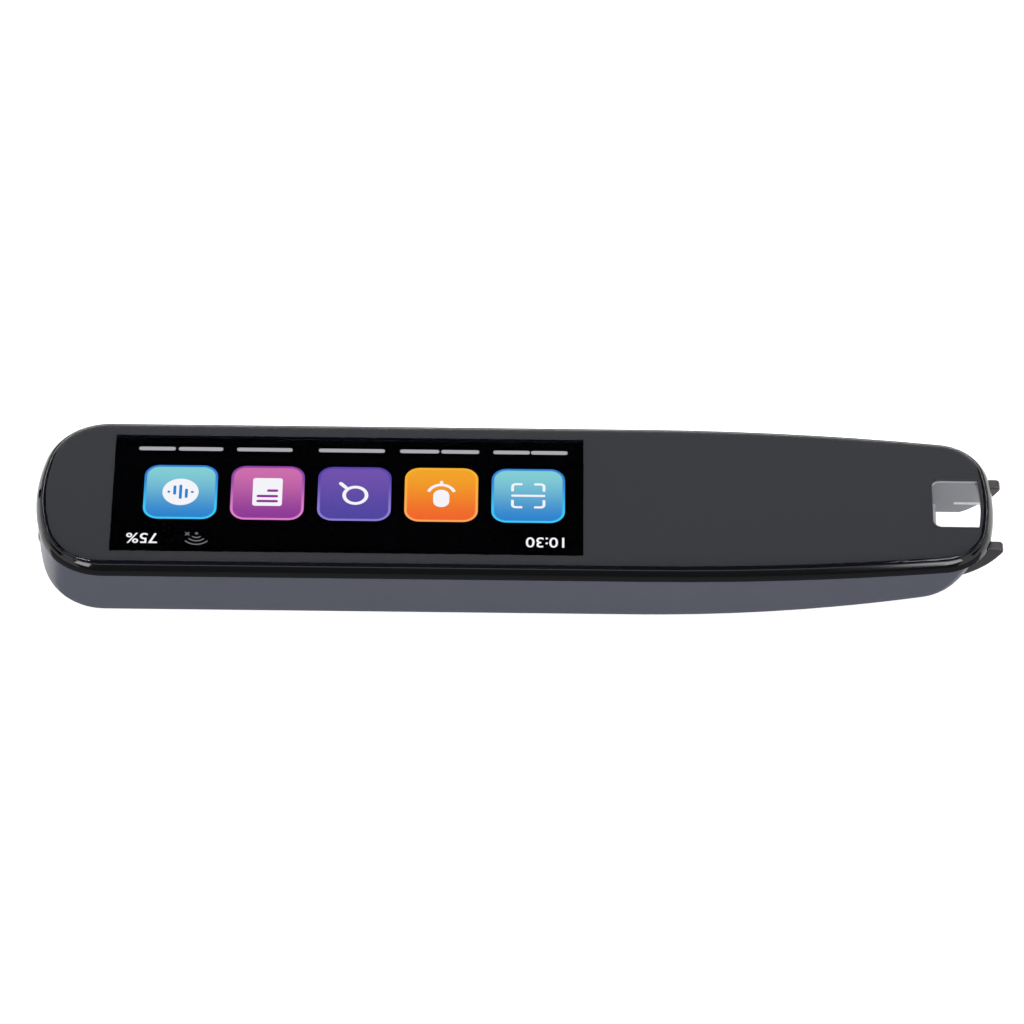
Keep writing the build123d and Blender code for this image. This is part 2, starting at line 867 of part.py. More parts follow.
with BuildPart() as battery_leads:
    for side in (1, -1):
        with BuildLine():
            lead_path = Spline(
                (cell_tip_x, side * lead_place, lead_start_z),
                (connector_x, side * lead_place, lead_end_z),
                tangents=((1, 0, 0), (1, 0, 0)),
            )
        with BuildSketch(Plane(origin=lead_path @ 0, z_dir=lead_path % 0)):
            Circle(lead_radius)
        sweep(path=lead_path)
battery_leads.part.label = "battery_leads"
export_step(battery_leads.part, "parts/battery_leads.step")

# ---------------------------------------------------------------- speaker

speaker_bottom_z = wall + gasket_height
speaker_top_z = speaker_bottom_z + speaker_height

with BuildPart() as speaker_gasket:
    with BuildSketch(Plane.XY.offset(wall)):
        with Locations((speaker_x, 0)):
            RectangleRounded(speaker_length, speaker_width, speaker_rounding)
            RectangleRounded(
                speaker_length - 2 * gasket_width,
                speaker_width - 2 * gasket_width,
                speaker_rounding - gasket_width / 2,
                mode=Mode.SUBTRACT,
            )
    extrude(amount=gasket_height)
speaker_gasket.part.label = "speaker_gasket"
export_step(speaker_gasket.part, "parts/speaker_gasket.step")

with BuildPart() as speaker_unit:
    with BuildSketch(Plane.XY.offset(speaker_bottom_z)):
        with Locations((speaker_x, 0)):
            RectangleRounded(speaker_length, speaker_width, speaker_rounding)
    extrude(amount=speaker_height)
    with BuildSketch(Plane.XY.offset(speaker_bottom_z)):
        with Locations((speaker_x, 0)):
            RectangleRounded(
                speaker_length - 2 * gasket_width,
                speaker_width - 2 * gasket_width,
                speaker_rounding - gasket_width / 2,
            )
    extrude(amount=gasket_height, mode=Mode.SUBTRACT)
speaker_unit.part.label = "speaker_unit"
export_step(speaker_unit.part, "parts/speaker_unit.step")

with BuildPart() as speaker_contacts:
    with Locations((speaker_tip_x - contact_setback, 0, speaker_top_z)):
        with GridLocations(contact_size, 2 * contact_place, 1, 2):
            Box(
                contact_size,
                contact_size,
                board_bottom_z - speaker_top_z,
                align=(Align.CENTER, Align.CENTER, Align.MIN),
            )
speaker_contacts.part.label = "speaker_contacts"
export_step(speaker_contacts.part, "parts/speaker_contacts.step")

# ---------------------------------------------------------------- USB-C receptacle

usb_back_x = usb_mouth_x + usb_length - usb_back

with BuildPart() as usb_receptacle:
    with BuildSketch(Plane.YZ.offset(usb_mouth_x)):
        with Locations((0, usb_z)):
            SlotOverall(usb_width, usb_height)
    extrude(amount=usb_length)
    with BuildSketch(Plane.YZ.offset(usb_mouth_x)):
        with Locations((0, usb_z)):
            SlotOverall(usb_width - 2 * usb_wall, usb_height - 2 * usb_wall)
    extrude(amount=usb_back_x - usb_mouth_x, mode=Mode.SUBTRACT)
usb_receptacle.part.label = "usb_receptacle"
export_step(usb_receptacle.part, "parts/usb_receptacle.step")

with BuildPart() as usb_tongue:
    beam(
        usb_back_x - tongue_length,
        usb_back_x,
        -tongue_width / 2,
        tongue_width / 2,
        usb_z - tongue_height / 2,
        usb_z + tongue_height / 2,
    )
usb_tongue.part.label = "usb_tongue"
export_step(usb_tongue.part, "parts/usb_tongue.step")

# ---------------------------------------------------------------- power button

button_outer_y = half_width - cover_inset + button_proud
flange_outer_y = inner_wall_y - button_seat_gap
flange_inner_y = flange_outer_y - button_flange_depth
side_switch_y = flange_inner_y - side_switch_gap
side_plunger_z = board_bottom_z - side_switch_height / 2

with BuildPart() as power_button:
    with BuildSketch(Plane.XZ.offset(-flange_outer_y)):
        with Locations((button_x, button_z)):
            SlotOverall(button_length + 2 * button_flange_run, button_height + 2 * button_flange_rise)
    extrude(amount=button_flange_depth)
    with BuildSketch(Plane.XZ.offset(-button_outer_y)):
        with Locations((button_x, button_z)):
            SlotOverall(button_length, button_height)
    extrude(amount=button_outer_y - flange_inner_y)
    fillet(power_button.faces().sort_by(Axis.Y)[-1].edges(), radius=button_proud / 2)
power_button.part.label = "power_button"
export_step(power_button.part, "parts/power_button.step")

with BuildPart() as power_switch:
    with Locations((button_x, side_switch_y, board_bottom_z)):
        Box(
            side_switch_length,
            side_switch_depth,
            side_switch_height,
            align=(Align.CENTER, Align.MAX, Align.MAX),
        )
    with Locations((button_x, side_switch_y, side_plunger_z)):
        Box(
            side_plunger_width + 2 * plunger_clearance,
            side_plunger_hold + button_travel + plunger_clearance,
            side_plunger_height + 2 * plunger_clearance,
            align=(Align.CENTER, Align.MAX, Align.CENTER),
            mode=Mode.SUBTRACT,
        )
power_switch.part.label = "power_switch"
export_step(power_switch.part, "parts/power_switch.step")

with BuildPart() as power_switch_plunger:
    with Locations((button_x, flange_inner_y, side_plunger_z)):
        Box(
            side_plunger_width,
            side_switch_gap + side_plunger_hold,
            side_plunger_height,
            align=(Align.CENTER, Align.MAX, Align.CENTER),
        )
power_switch_plunger.part.label = "power_switch_plunger"
export_step(power_switch_plunger.part, "parts/power_switch_plunger.step")

# ---------------------------------------------------------------- scan fork


def chin_x(z, rise):
    """How far forward the chin, raised by rise, reaches at a height."""
    return chin_centre.X + math.sqrt((chin_radius - rise) ** 2 - (chin_centre.Y - z) ** 2)


def chin_z(x, rise):
    """How low the chin, raised by rise, is at a station."""
    return chin_centre.Y - math.sqrt((chin_radius - rise) ** 2 - (x - chin_centre.X) ** 2)


chin_start = Vector(chin_x(chin_low_z, 0), chin_low_z)

with BuildPart() as fork_blade:
    with BuildSketch(Plane.XZ.offset(-arm_outer)):
        with BuildLine():
            Polyline(
                (nose_centre.X, arm_top_z),
                (blade_rear_x, arm_top_z),
                (blade_rear_x, chin_low_z),
                (chin_start.X, chin_start.Y),
            )
            arc_round(chin_centre, chin_radius, chin_start - chin_centre, nose_centre - chin_centre)
            arc_round(nose_centre, nose_radius, nose_centre - chin_centre, Vector(0, 1))
        make_face()
    extrude(amount=arm_thickness)
    fillet(fork_blade.faces().filter_by(Axis.Y).edges(), radius=arm_edge)

with BuildPart() as scan_fork:
    add(fork_blade.part)
    beam(bridge_back_x, blade_rear_x + arm_edge, arm_inner, arm_outer, rail_bottom_z, rail_top_z)
    mirror(about=Plane.XZ)
    beam(bridge_back_x, bridge_front_x, -arm_outer, arm_outer, rail_bottom_z, rail_top_z)
scan_fork.part.label = "scan_fork"
export_step(scan_fork.part, "parts/scan_fork.step")

coil_radius = spring_radius - spring_wire / 2
coil_length = spring_length - spring_wire - 2 * spring_end_gap
coil_start_x = rib_front_x + spring_wire / 2 + spring_end_gap

with BuildPart() as return_springs:
    for side in (1, -1):
        with BuildLine():
            coil = Helix(
                pitch=coil_length / spring_turns,
                height=coil_length,
                radius=coil_radius,
                center=(coil_start_x, side * spring_place, spring_z),
                direction=(1, 0, 0),
            )
        with BuildSketch(Plane(origin=coil @ 0, z_dir=coil % 0)):
            Circle(spring_wire / 2)
        sweep(path=coil, is_frenet=True)
return_springs.part.label = "return_springs"
export_step(return_springs.part, "parts/return_springs.step")

switch_front_x = bridge_back_x - switch_gap
plunger_hold = plunger_length - switch_gap
plunger_z = rail_top_z - plunger_rise

with BuildPart() as trigger_switch:
    with Locations((switch_front_x, 0, board_bottom_z)):
        Box(switch_length, switch_width, switch_height, align=(Align.MAX, Align.CENTER, Align.MAX))
    with Locations((switch_front_x, 0, plunger_z)):
        Box(
            plunger_hold + fork_travel + plunger_clearance,
            plunger_width + 2 * plunger_clearance,
            plunger_height + 2 * plunger_clearance,
            align=(Align.MAX, Align.CENTER, Align.CENTER),
            mode=Mode.SUBTRACT,
        )
trigger_switch.part.label = "trigger_switch"
export_step(trigger_switch.part, "parts/trigger_switch.step")

with BuildPart() as trigger_plunger:
    with Locations((bridge_back_x, 0, plunger_z)):
        Box(plunger_length, plunger_width, plunger_height, align=(Align.MAX, Align.CENTER, Align.CENTER))
trigger_plunger.part.label = "trigger_plunger"
export_step(trigger_plunger.part, "parts/trigger_plunger.step")

# ---------------------------------------------------------------- throat, light and camera

cheek_low_z = chin_low_z + cheek_rise
cheek_turn_x = chin_x(cheek_low_z, cheek_rise)
rim_run = math.sqrt((tip_end_radius - window_rim) ** 2 - throat_half**2)
cheek_rim_x = tip_end_centre.X + rim_run - cheek_clearance
cheek_step_z = seam_z - cheek_clearance
flange_bottom_z = seam_z - shroud_flange_thickness
flange_tip_x = rear_wall_front_x + shroud_flange_length

with BuildPart() as light_shroud:
    # Cheeks on each side of the throat, their lower edge just above the chin
    for side in (1, -1):
        with BuildSketch(Plane.XZ.offset(-side * (cheek_inner + cheek_thickness / 2))):
            with BuildLine():
                Polyline(
                    (cheek_turn_x, cheek_low_z),
                    (rear_wall_back_x, cheek_low_z),
                    (rear_wall_back_x, deck_top_z),
                    (cheek_rim_x, deck_top_z),
                    (cheek_rim_x, cheek_step_z),
                    (cheek_front_x, cheek_step_z),
                    (cheek_front_x, chin_z(cheek_front_x, cheek_rise)),
                )
                arc_round(
                    chin_centre,
                    chin_radius - cheek_rise,
                    Vector(cheek_front_x, chin_z(cheek_front_x, cheek_rise)) - chin_centre,
                    Vector(cheek_turn_x, cheek_low_z) - chin_centre,
                )
            make_face()
        extrude(amount=cheek_thickness / 2, both=True)
        # Flange glued under the frame
        with Locations((rear_wall_back_x, side * cheek_inner, flange_bottom_z)):
            Box(
                flange_tip_x - rear_wall_back_x,
                arm_outer - cheek_inner,
                shroud_flange_thickness,
                align=(Align.MIN, Align.MIN if side > 0 else Align.MAX, Align.MIN),
            )
    # Rear wall with the light's slot and the camera's port
    beam(rear_wall_back_x, rear_wall_front_x, -cheek_outer, cheek_outer, sill_z, deck_top_z)
    with Locations((rear_wall_front_x, 0, light_slot_z)):
        Box(2 * cut_margin, light_slot_width, light_slot_height, mode=Mode.SUBTRACT)
    with Locations((rear_wall_front_x, 0, camera_z)):
        Box(2 * cut_margin, camera_port_width, camera_port_height, mode=Mode.SUBTRACT)
light_shroud.part.label = "light_shroud"
export_step(light_shroud.part, "parts/light_shroud.step")

led_board_low_z = light_slot_z - light_slot_height / 2 - led_board_lap
led_board_top_z = light_slot_z + light_slot_height / 2 + led_board_lap
led_board_half = light_slot_width / 2 + led_board_lap

with BuildPart() as led_board:
    beam(
        rear_wall_back_x - led_board_thickness,
        rear_wall_back_x,
        -led_board_half,
        led_board_half,
        led_board_low_z,
        led_board_top_z,
    )
led_board.part.label = "led_board"
export_step(led_board.part, "parts/led_board.step")

with BuildPart() as light_emitters:
    with Locations((rear_wall_back_x, 0, light_slot_z)):
        with GridLocations(led_pitch, led_pitch, 1, led_count):
            Box(led_height, led_size, led_size, align=(Align.MIN, Align.CENTER, Align.CENTER))
light_emitters.part.label = "light_emitters"
export_step(light_emitters.part, "parts/light_emitters.step")

with BuildPart() as led_diffuser:
    beam(
        rear_wall_front_x,
        rear_wall_front_x + diffuser_depth,
        diffuser_clearance - cheek_inner,
        cheek_inner - diffuser_clearance,
        light_slot_z - light_slot_height / 2 - diffuser_lap,
        light_slot_z + light_slot_height / 2 + diffuser_lap,
    )
led_diffuser.part.label = "led_diffuser"
export_step(led_diffuser.part, "parts/led_diffuser.step")

with BuildPart() as camera_window:
    with Locations((rear_wall_back_x, 0, camera_z)):
        Box(
            pane_thickness,
            camera_port_width + 2 * pane_lap,
            camera_port_height + 2 * pane_lap,
            align=(Align.MAX, Align.CENTER, Align.CENTER),
        )
camera_window.part.label = "camera_window"
export_step(camera_window.part, "parts/camera_window.step")

with BuildPart() as camera_module:
    beam(
        camera_tail_x,
        camera_tip_x,
        -camera_width / 2,
        camera_width / 2,
        camera_bottom_z,
        camera_top_z,
    )
    with BuildSketch(Plane.YZ.offset(camera_tip_x)):
        with Locations((0, camera_z)):
            Circle(barrel_radius)
    extrude(amount=barrel_length)
    with BuildSketch(Plane.YZ.offset(camera_tip_x + barrel_length)):
        with Locations((0, camera_z)):
            Circle(lens_radius)
    extrude(amount=-lens_thickness, mode=Mode.SUBTRACT)
camera_module.part.label = "camera_module"
export_step(camera_module.part, "parts/camera_module.step")

with BuildPart() as camera_lens:
    with BuildSketch(Plane.YZ.offset(camera_tip_x + barrel_length - lens_thickness)):
        with Locations((0, camera_z)):
            Circle(lens_radius)
    extrude(amount=lens_thickness)
camera_lens.part.label = "camera_lens"
export_step(camera_lens.part, "parts/camera_lens.step")

with BuildPart() as camera_flex:
    beam(
        bridge_front_x,
        camera_tail_x,
        -camera_flex_width / 2,
        camera_flex_width / 2,
        board_bottom_z - camera_flex_thickness,
        board_bottom_z,
    )
camera_flex.part.label = "camera_flex"
export_step(camera_flex.part, "parts/camera_flex.step")
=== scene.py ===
"""Dresses the solids of a handheld translator: its glass, screen, finishes and small parts."""

import math

import bmesh
import bpy
from mathutils import Matrix, Vector


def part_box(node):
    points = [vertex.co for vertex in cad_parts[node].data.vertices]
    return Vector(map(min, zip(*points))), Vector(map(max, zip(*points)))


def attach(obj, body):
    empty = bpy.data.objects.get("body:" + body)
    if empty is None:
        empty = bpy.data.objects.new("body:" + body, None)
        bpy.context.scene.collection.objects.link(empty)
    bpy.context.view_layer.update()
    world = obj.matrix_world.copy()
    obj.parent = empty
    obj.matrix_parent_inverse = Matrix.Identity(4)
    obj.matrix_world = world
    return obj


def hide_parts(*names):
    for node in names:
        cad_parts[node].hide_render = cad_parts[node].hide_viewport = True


bl_info = {
    "name": "Handheld translator",
    "version": (1, 0, 0),
    "blender": (4, 5, 0),
    "location": "View3D > Sidebar > Translator",
    "description": "Builds the glass, the lit screen and the finishes of a handheld translator",
    "category": "Object",
}

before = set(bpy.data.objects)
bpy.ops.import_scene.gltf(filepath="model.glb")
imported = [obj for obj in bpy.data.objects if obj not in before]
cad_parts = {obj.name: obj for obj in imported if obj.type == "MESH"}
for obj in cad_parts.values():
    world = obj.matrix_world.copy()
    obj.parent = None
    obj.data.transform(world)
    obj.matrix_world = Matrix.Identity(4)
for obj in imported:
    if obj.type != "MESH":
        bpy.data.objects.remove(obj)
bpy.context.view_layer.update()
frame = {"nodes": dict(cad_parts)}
NODES = frame["nodes"]
MM = 0.001
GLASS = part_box("cover_glass")
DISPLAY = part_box("display_cell")

# Lit area of the display, from its tail end and near side to its tip end and far side
LIT_AREA = (Vector((-61.95, -12.03)) * MM, Vector((9.85, 12.03)) * MM)

# First place, in millimetres, of each row of small parts under the main board
BOARD_ROWS = ((-26.0, 9.5), (-14.0, -4.0), (-10.0, 6.5), (0.0, -7.5), (12.0, 10.0), (24.0, 8.0))

# Width and rise, in millimetres, of each ring of the speaker's cone, from its rim to its middle
CONE_RINGS = (
    (0.35, -0.3),
    (0.5, -0.14),
    (0.5, 0.14),
    (1.5, 0.16),
    (0.5, 0.02),
    (0.35, -0.12),
    (1.2, -0.1),
)

# Height and shift, in millimetres, of each bar of the wave glyph
WAVE_BARS = ((0.45, 0.0), (1.9, 0.35), (2.95, 0.0), (1.9, -0.3), (0.45, 0.0))

# Place in its tile, width and height, in millimetres, of each bar of the page and microphone glyphs
PAGE_LINES = ((0, -1.73, 3.28, 0.5), (0, -0.69, 3.28, 0.5), (0.77, 0.46, 1.73, 0.5))
MICROPHONE_BARS = ((0, -0.75, 2.45, 3.6), (0, 2.45, 0.5, 0.9))

# Shift from its tile's middle and length, in millimetres, of each bar that stands for a word
LABELS = (
    ((-3.9, 5.6), (2.75, 6.8)),
    ((-0.7, 8.5),),
    ((-0.6, 10.1),),
    ((-3.45, 6.0), (2.75, 5.8)),
    ((-2.6, 5.6), (3.15, 5.6)),
)

# Colours of each tile at the parts named below, from 0 to 255
TILE_PARTS = ("far", "near", "far rim", "near rim")
BLUE_TILE = ((132, 206, 212), (45, 130, 206), (50, 130, 216), (62, 202, 250))
TILE_TONES = {
    "record": BLUE_TILE,
    "notes": ((206, 110, 172), (140, 58, 150), (140, 70, 166), (222, 130, 202)),
    "find": ((112, 82, 172), (80, 70, 160), (84, 66, 168), (142, 126, 214)),
    "speak": ((242, 164, 42), (240, 102, 44), (250, 180, 50), (252, 168, 92)),
    "scan": BLUE_TILE,
}


# ---------------------------------------------------------------- settings


def screen_tone(red, green, blue):
    """A colour given as a screen shows it, from 0 to 255, as a shader reads it."""
    return tuple(((v / 255 + 0.055) / 1.055) ** 2.4 if v > 10 else v / 3295 for v in (red, green, blue))


def number(name, description, default, **kind):
    """A number; kind is what else the sidebar needs, such as its unit."""
    return bpy.props.FloatProperty(name=name, description=description, default=default, **kind)


def length(name, description, default):
    """A size in metres that the sidebar shows as a distance; default is in millimetres."""
    return number(name, description, default * MM, precision=5, subtype="DISTANCE", unit="LENGTH")


def angle(name, description, default):
    """An angle in radians; default is in degrees."""
    return number(name, description, math.radians(default), subtype="ANGLE", unit="ROTATION")


def colour(name, description, default):
    """A colour; default is its red, green and blue as a screen shows them, from 0 to 255."""
    return bpy.props.FloatVectorProperty(
        name=name,
        description=description,
        default=screen_tone(*default),
        min=0.0,
        max=1.0,
        size=3,
        subtype="COLOR",
    )


def factor(name, description, default):
    """A plain number from 0 to 1."""
    return number(name, description, default, min=0.0, max=1.0, subtype="FACTOR")


class HousingSettings(bpy.types.PropertyGroup):
    """The cover, the frame and the moving parts that a hand touches."""

    cover: colour("Cover", "Colour of the satin rear cover", (89, 91, 103))
    cover_roughness: factor("Cover roughness", "How satin the cover's paint is", 0.4)
    frame: colour("Frame", "Colour of the gloss frame round the glass", (7, 7, 9))
    frame_roughness: factor("Frame roughness", "How sharp the frame's reflections are", 0.09)
    fork: colour("Fork", "Colour of the prongs at the tip", (66, 61, 65))
    button: colour("Button", "Colour of the power button", (48, 49, 58))


class GlassSettings(bpy.types.PropertyGroup):
    """The cover glass, its printed back and its edge."""

    edge_run: length("Edge run", "How far the rounded edge reaches in from the side", 1.25)
    edge_drop: length("Edge drop", "How far the rounded edge falls below the flat", 0.55)
    edge_steps: bpy.props.IntProperty(
        name="Edge steps", description="Facets across the rounded edge", default=7, min=2
    )
    seat_gap: length("Seat overlap", "How far the glass reaches into its printed film", 0.02)
    bond_drop: length("Bond overlap", "How far the bonded pad reaches into the display", 0.01)
    # The print's blue tint is partly painted reflection: it gives the glass a bluish cast
    print_and_reflection_tone: colour("Print", "Colour of the black print behind the glass", (6, 8, 20))
    screen_left: length("Screen tail end", "Tail end of the coated screen area", -61.65)
    screen_right: length("Screen tip end", "Tip end of the coated screen area", 9.7)
    screen_far: length("Screen far side", "Far side of the coated screen area", 11.82)
    screen_near: length("Screen near side", "Near side of the coated screen area", -12.2)
    pad_margin: length("Pad margin", "How far the bonded pad reaches under the print", 0.15)
    rim_reach: length("Window rim", "How far the black print reaches in at the tip", 1.08)
    # The pale strip round the window is a painted highlight on its edges
    highlight_lip_width: length("Window lip", "Width of the painted highlight lip round the window", 0.3)


class ScreenSettings(bpy.types.PropertyGroup):
    """What the lit screen shows."""

    tile_size: length("Tile size", "Side of one tile", 11.15)
    tile_radius: length("Tile corner", "Corner radius of a tile", 2.3)
    tile_pitch: length("Tile pitch", "Distance between the middles of two tiles", 13.2)
    tile_first: length("First tile", "Middle of the tile at the tail end", -51.45)
    tile_row: length("Tile row", "Middle of the row of tiles across the screen", 0.95)
    layer: length("Layer", "Thickness of one layer of the picture", 0.012)
    white: colour("White", "Colour of the glyphs and digits", (246, 246, 250))
    label: colour("Label", "Colour of the bars under the tiles", (172, 172, 178))
    mark: colour("Mark", "Colour of the signal mark", (112, 112, 118))


for tile, tones in TILE_TONES.items():
    for part, tone in zip(TILE_PARTS, tones):
        entry = colour(f"{tile}, {part}".capitalize(), f"Colour of the {tile} tile, {part}", tone)
        ScreenSettings.__annotations__[f"{tile}_{part}".replace(" ", "_")] = entry


class StageSettings(bpy.types.PropertyGroup):
    """The floor, the lamps and the camera."""

    floor_size: length("Floor size", "Side of the square floor", 9000)
    floor_gap: length("Floor gap", "How far the floor lies under the object's feet", 0.6)
    floor_glow: factor("Floor glow", "How much of the floor's white shadows leave", 0.86)
    sky: factor("Sky", "Strength of the surrounding light on the object", 0.55)
    key_power: number("Key lamp", "Power of the lamp overhead", 9.0, unit="POWER")
    fill_power: number("Front lamp", "Power of the lamp in front", 5.0, unit="POWER")
    target: bpy.props.FloatVectorProperty(
        name="Target",
        description="What the camera looks at",
        default=(-1.09 * MM, 4.48 * MM, 4.17 * MM),
        precision=5,
        subtype="XYZ",
        unit="LENGTH",
    )
    camera_distance: length("Camera distance", "From the camera to what it looks at", 1025.7)
    camera_height: angle("Camera elevation", "Angle of the camera above the floor", 47)
    camera_roll: angle("Camera roll", "Turn of the camera about its own axis", 0.65)
    lens: number("Lens", "Focal length of the camera's lens", 235.65)


# ---------------------------------------------------------------- shared shader groups


def feed(tree, socket, value):
    """Sets a socket to a plain value, or links it to the socket that gives its value."""
    if isinstance(value, bpy.types.NodeSocket):
        tree.links.new(value, socket)
    else:
        socket.default_value = value


def fill(tree, node, **values):
    """Feeds a node's inputs by their names, an underscore standing for a space."""
    for label, value in values.items():
        feed(tree, node.inputs[label.replace("_", " ")], value)
    return node


def add(tree, kind, **values):
    """A new node with its named inputs fed."""
    return fill(tree, tree.nodes.new(kind), **values)


def group(name, outputs, **inputs):
    """A new shader group that takes a place and named values; returns it, its inputs and outputs."""
    tree = bpy.data.node_groups.new(name, "ShaderNodeTree")
    tree.interface.new_socket(name="Vector", in_out="INPUT", socket_type="NodeSocketVector")
    for label, value in inputs.items():
        kind = "NodeSocketColor" if isinstance(value, tuple) else "NodeSocketFloat"
        label = label.replace("_", " ")
        socket = tree.interface.new_socket(name=label, in_out="INPUT", socket_type=kind)
        socket.default_value = value
    for label in outputs:
        kind = "NodeSocketColor" if label == "Colour" else "NodeSocketFloat"
        tree.interface.new_socket(name=label, in_out="OUTPUT", socket_type=kind)
    return tree, tree.nodes.new("NodeGroupInput").outputs, tree.nodes.new("NodeGroupOutput").inputs


def sums(tree, operation, *values):
    """A Math node; each operand is a socket or a number."""
    node = tree.nodes.new("ShaderNodeMath")
    node.operation = operation
    for socket, value in zip(node.inputs, values):
        feed(tree, socket, value)
    return node.outputs[0]


def blend(tree, amount, first, second):
    """A colour mix; each end is a socket or a colour."""
    node = tree.nodes.new("ShaderNodeMix")
    node.data_type = "RGBA"
    for slot, value in ((0, amount), (6, first), (7, second)):
        feed(tree, node.inputs[slot], value)
    return node.outputs[2]


def ramp(tree, value, low, high, out_low=0.0, out_high=1.0):
    """A value taken from one range to another, smoothly and held at its ends."""
    node = tree.nodes.new("ShaderNodeMapRange")
    node.interpolation_type = "SMOOTHSTEP"
    for socket, each in zip(node.inputs, (value, low, high, out_low, out_high)):
        feed(tree, socket, each)
    return node.outputs[0]


def noise(tree, vector, scale, detail, stretch=None):
    """A noise texture's value; stretch scales its axes first."""
    if stretch:
        vector = add(tree, "ShaderNodeMapping", Vector=vector, Scale=stretch).outputs[0]
    return add(tree, "ShaderNodeTexNoise", Vector=vector, Scale=scale, Detail=detail).outputs["Fac"]


def build_surface_group():
    """Colour drift, sheen drift and fine grain that every moulded or painted finish shares."""
    tree, given, made = group(
        "surface",
        ("Colour", "Roughness", "Height"),
        Colour=(0.5, 0.5, 0.5, 1),
        Drift=0.1,
        Roughness=0.4,
        Sheen_drift=0.1,
        Grain_scale=9000.0,
        Patch_scale=60.0,
    )
    patch = noise(tree, given["Vector"], given["Patch scale"], 4.0)
    fleck = noise(tree, given["Vector"], given["Grain scale"], 2.0)
    lift = sums(tree, "SUBTRACT", patch, 0.5)
    shade = sums(tree, "MULTIPLY_ADD", lift, given["Drift"], 1.0)
    shade = sums(tree, "MULTIPLY_ADD", sums(tree, "SUBTRACT", fleck, 0.5), given["Drift"], shade)
    tint = tree.nodes.new("ShaderNodeVectorMath")
    tint.operation = "SCALE"
    fill(tree, tint, Vector=given["Colour"], Scale=shade)
    tree.links.new(tint.outputs[0], made["Colour"])
    sheen = sums(tree, "MULTIPLY", lift, given["Sheen drift"])
    tree.links.new(sums(tree, "ADD", given["Roughness"], sheen), made["Roughness"])
    tree.links.new(fleck, made["Height"])


def build_brushed_group():
    """Fine lines drawn along X, for rolled and brushed metal."""
    tree, given, made = group("brushed", ("Roughness", "Height"), Roughness=0.3, Spread=0.15)
    lines = noise(tree, given["Vector"], 1.0, 4.0, (150, 6000, 6000))
    lifted = sums(tree, "MULTIPLY_ADD", lines, given["Spread"], given["Roughness"])
    tree.links.new(lifted, made["Roughness"])
    tree.links.new(lines, made["Height"])


def build_tile_group():
    """A tile's shade from its far side to its near side, with a lit rim inside its edge."""
    tree, given, made = group(
        "tile_shade",
        ("Colour",),
        Far=(1, 1, 1, 1),
        Near=(0, 0, 0, 1),
        Far_rim=(1, 1, 1, 1),
        Near_rim=(1, 1, 1, 1),
        Half=0.0056,
        Corner=0.0022,
    )
    apart = add(tree, "ShaderNodeSeparateXYZ", Vector=given["Vector"]).outputs
    core = sums(tree, "SUBTRACT", given["Half"], given["Corner"])
    squares = []
    for axis in ("X", "Y"):
        away = sums(tree, "SUBTRACT", sums(tree, "ABSOLUTE", apart[axis]), core)
        beyond = sums(tree, "MAXIMUM", away, 0.0)
        squares.append(sums(tree, "MULTIPLY", beyond, beyond))
    edge = sums(tree, "DIVIDE", sums(tree, "SQRT", sums(tree, "ADD", *squares)), given["Corner"])
    across = sums(tree, "DIVIDE", apart["Y"], given["Half"])
    body = blend(tree, ramp(tree, across, -1.0, 1.0), given["Near"], given["Far"])
    line = blend(tree, ramp(tree, across, -0.75, 0.75), given["Near rim"], given["Far rim"])
    tree.links.new(blend(tree, ramp(tree, edge, 0.8, 0.87), body, line), made["Colour"])


def build_track_group():
    """Copper tracks and pads under the solder mask of a circuit board."""
    tree, given, made = group(
        "tracks",
        ("Colour", "Height"),
        Mask=(0.01, 0.05, 0.03, 1),
        Track=(0.03, 0.12, 0.07, 1),
        Pitch=900.0,
    )
    at, pitch, black = given["Vector"], given["Pitch"], (0, 0, 0, 1)
    bent = add(tree, "ShaderNodeTexBrick", Vector=at, Scale=pitch, Mortar_Size=0.06, Mortar_Smooth=0.2)
    fill(tree, bent, Color1=black, Color2=black, Mortar=(1, 1, 1, 1))
    bent.offset = 0.37
    bent.squash = 1.6
    bent.squash_frequency = 3
    via = add(tree, "ShaderNodeTexVoronoi", Vector=at, Scale=pitch)
    dots = ramp(tree, via.outputs["Distance"], 0.16, 0.1)
    mask = sums(tree, "MAXIMUM", bent.outputs["Color"], dots)
    tree.links.new(blend(tree, mask, given["Mask"], given["Track"]), made["Colour"])
    tree.links.new(mask, made["Height"])


# ---------------------------------------------------------------- materials


def blank(name):
    """A new material with its tree, its Principled shader and its Object coordinates."""
    made = bpy.data.materials.new(name)
    made.use_nodes = True
    tree = made.node_tree
    shader = tree.nodes["Principled BSDF"]
    place = tree.nodes.new("ShaderNodeTexCoord").outputs["Object"]
    return made, tree, shader, place


def use_group(tree, name, place, **values):
    """What a shared group makes of a place and a material's own values."""
    node = tree.nodes.new("ShaderNodeGroup")
    node.node_tree = bpy.data.node_groups[name]
    return fill(tree, node, Vector=place, **values).outputs


def bump(tree, shader, height, depth):
    """Links a height to the shader's normal at a real depth in metres."""
    node = add(tree, "ShaderNodeBump", Strength=1.0, Distance=depth, Height=height)
    tree.links.new(node.outputs[0], shader.inputs["Normal"])


# Depth of fine grain, in metres
FINE = 0.000002


def moulded(name, tone, roughness, drift=0.1, sheen=0.08, grain=9000.0, depth=FINE):
    """A moulded or painted finish with its own grain."""
    made, tree, shader, place = blank(name)
    skin = use_group(
        tree,
        "surface",
        place,
        Colour=(*tone, 1.0),
        Drift=drift,
        Roughness=roughness,
        Sheen_drift=sheen,
        Grain_scale=grain,
    )
    fill(tree, shader, Base_Color=skin["Colour"], Roughness=skin["Roughness"])
    bump(tree, shader, skin["Height"], depth)
    return made


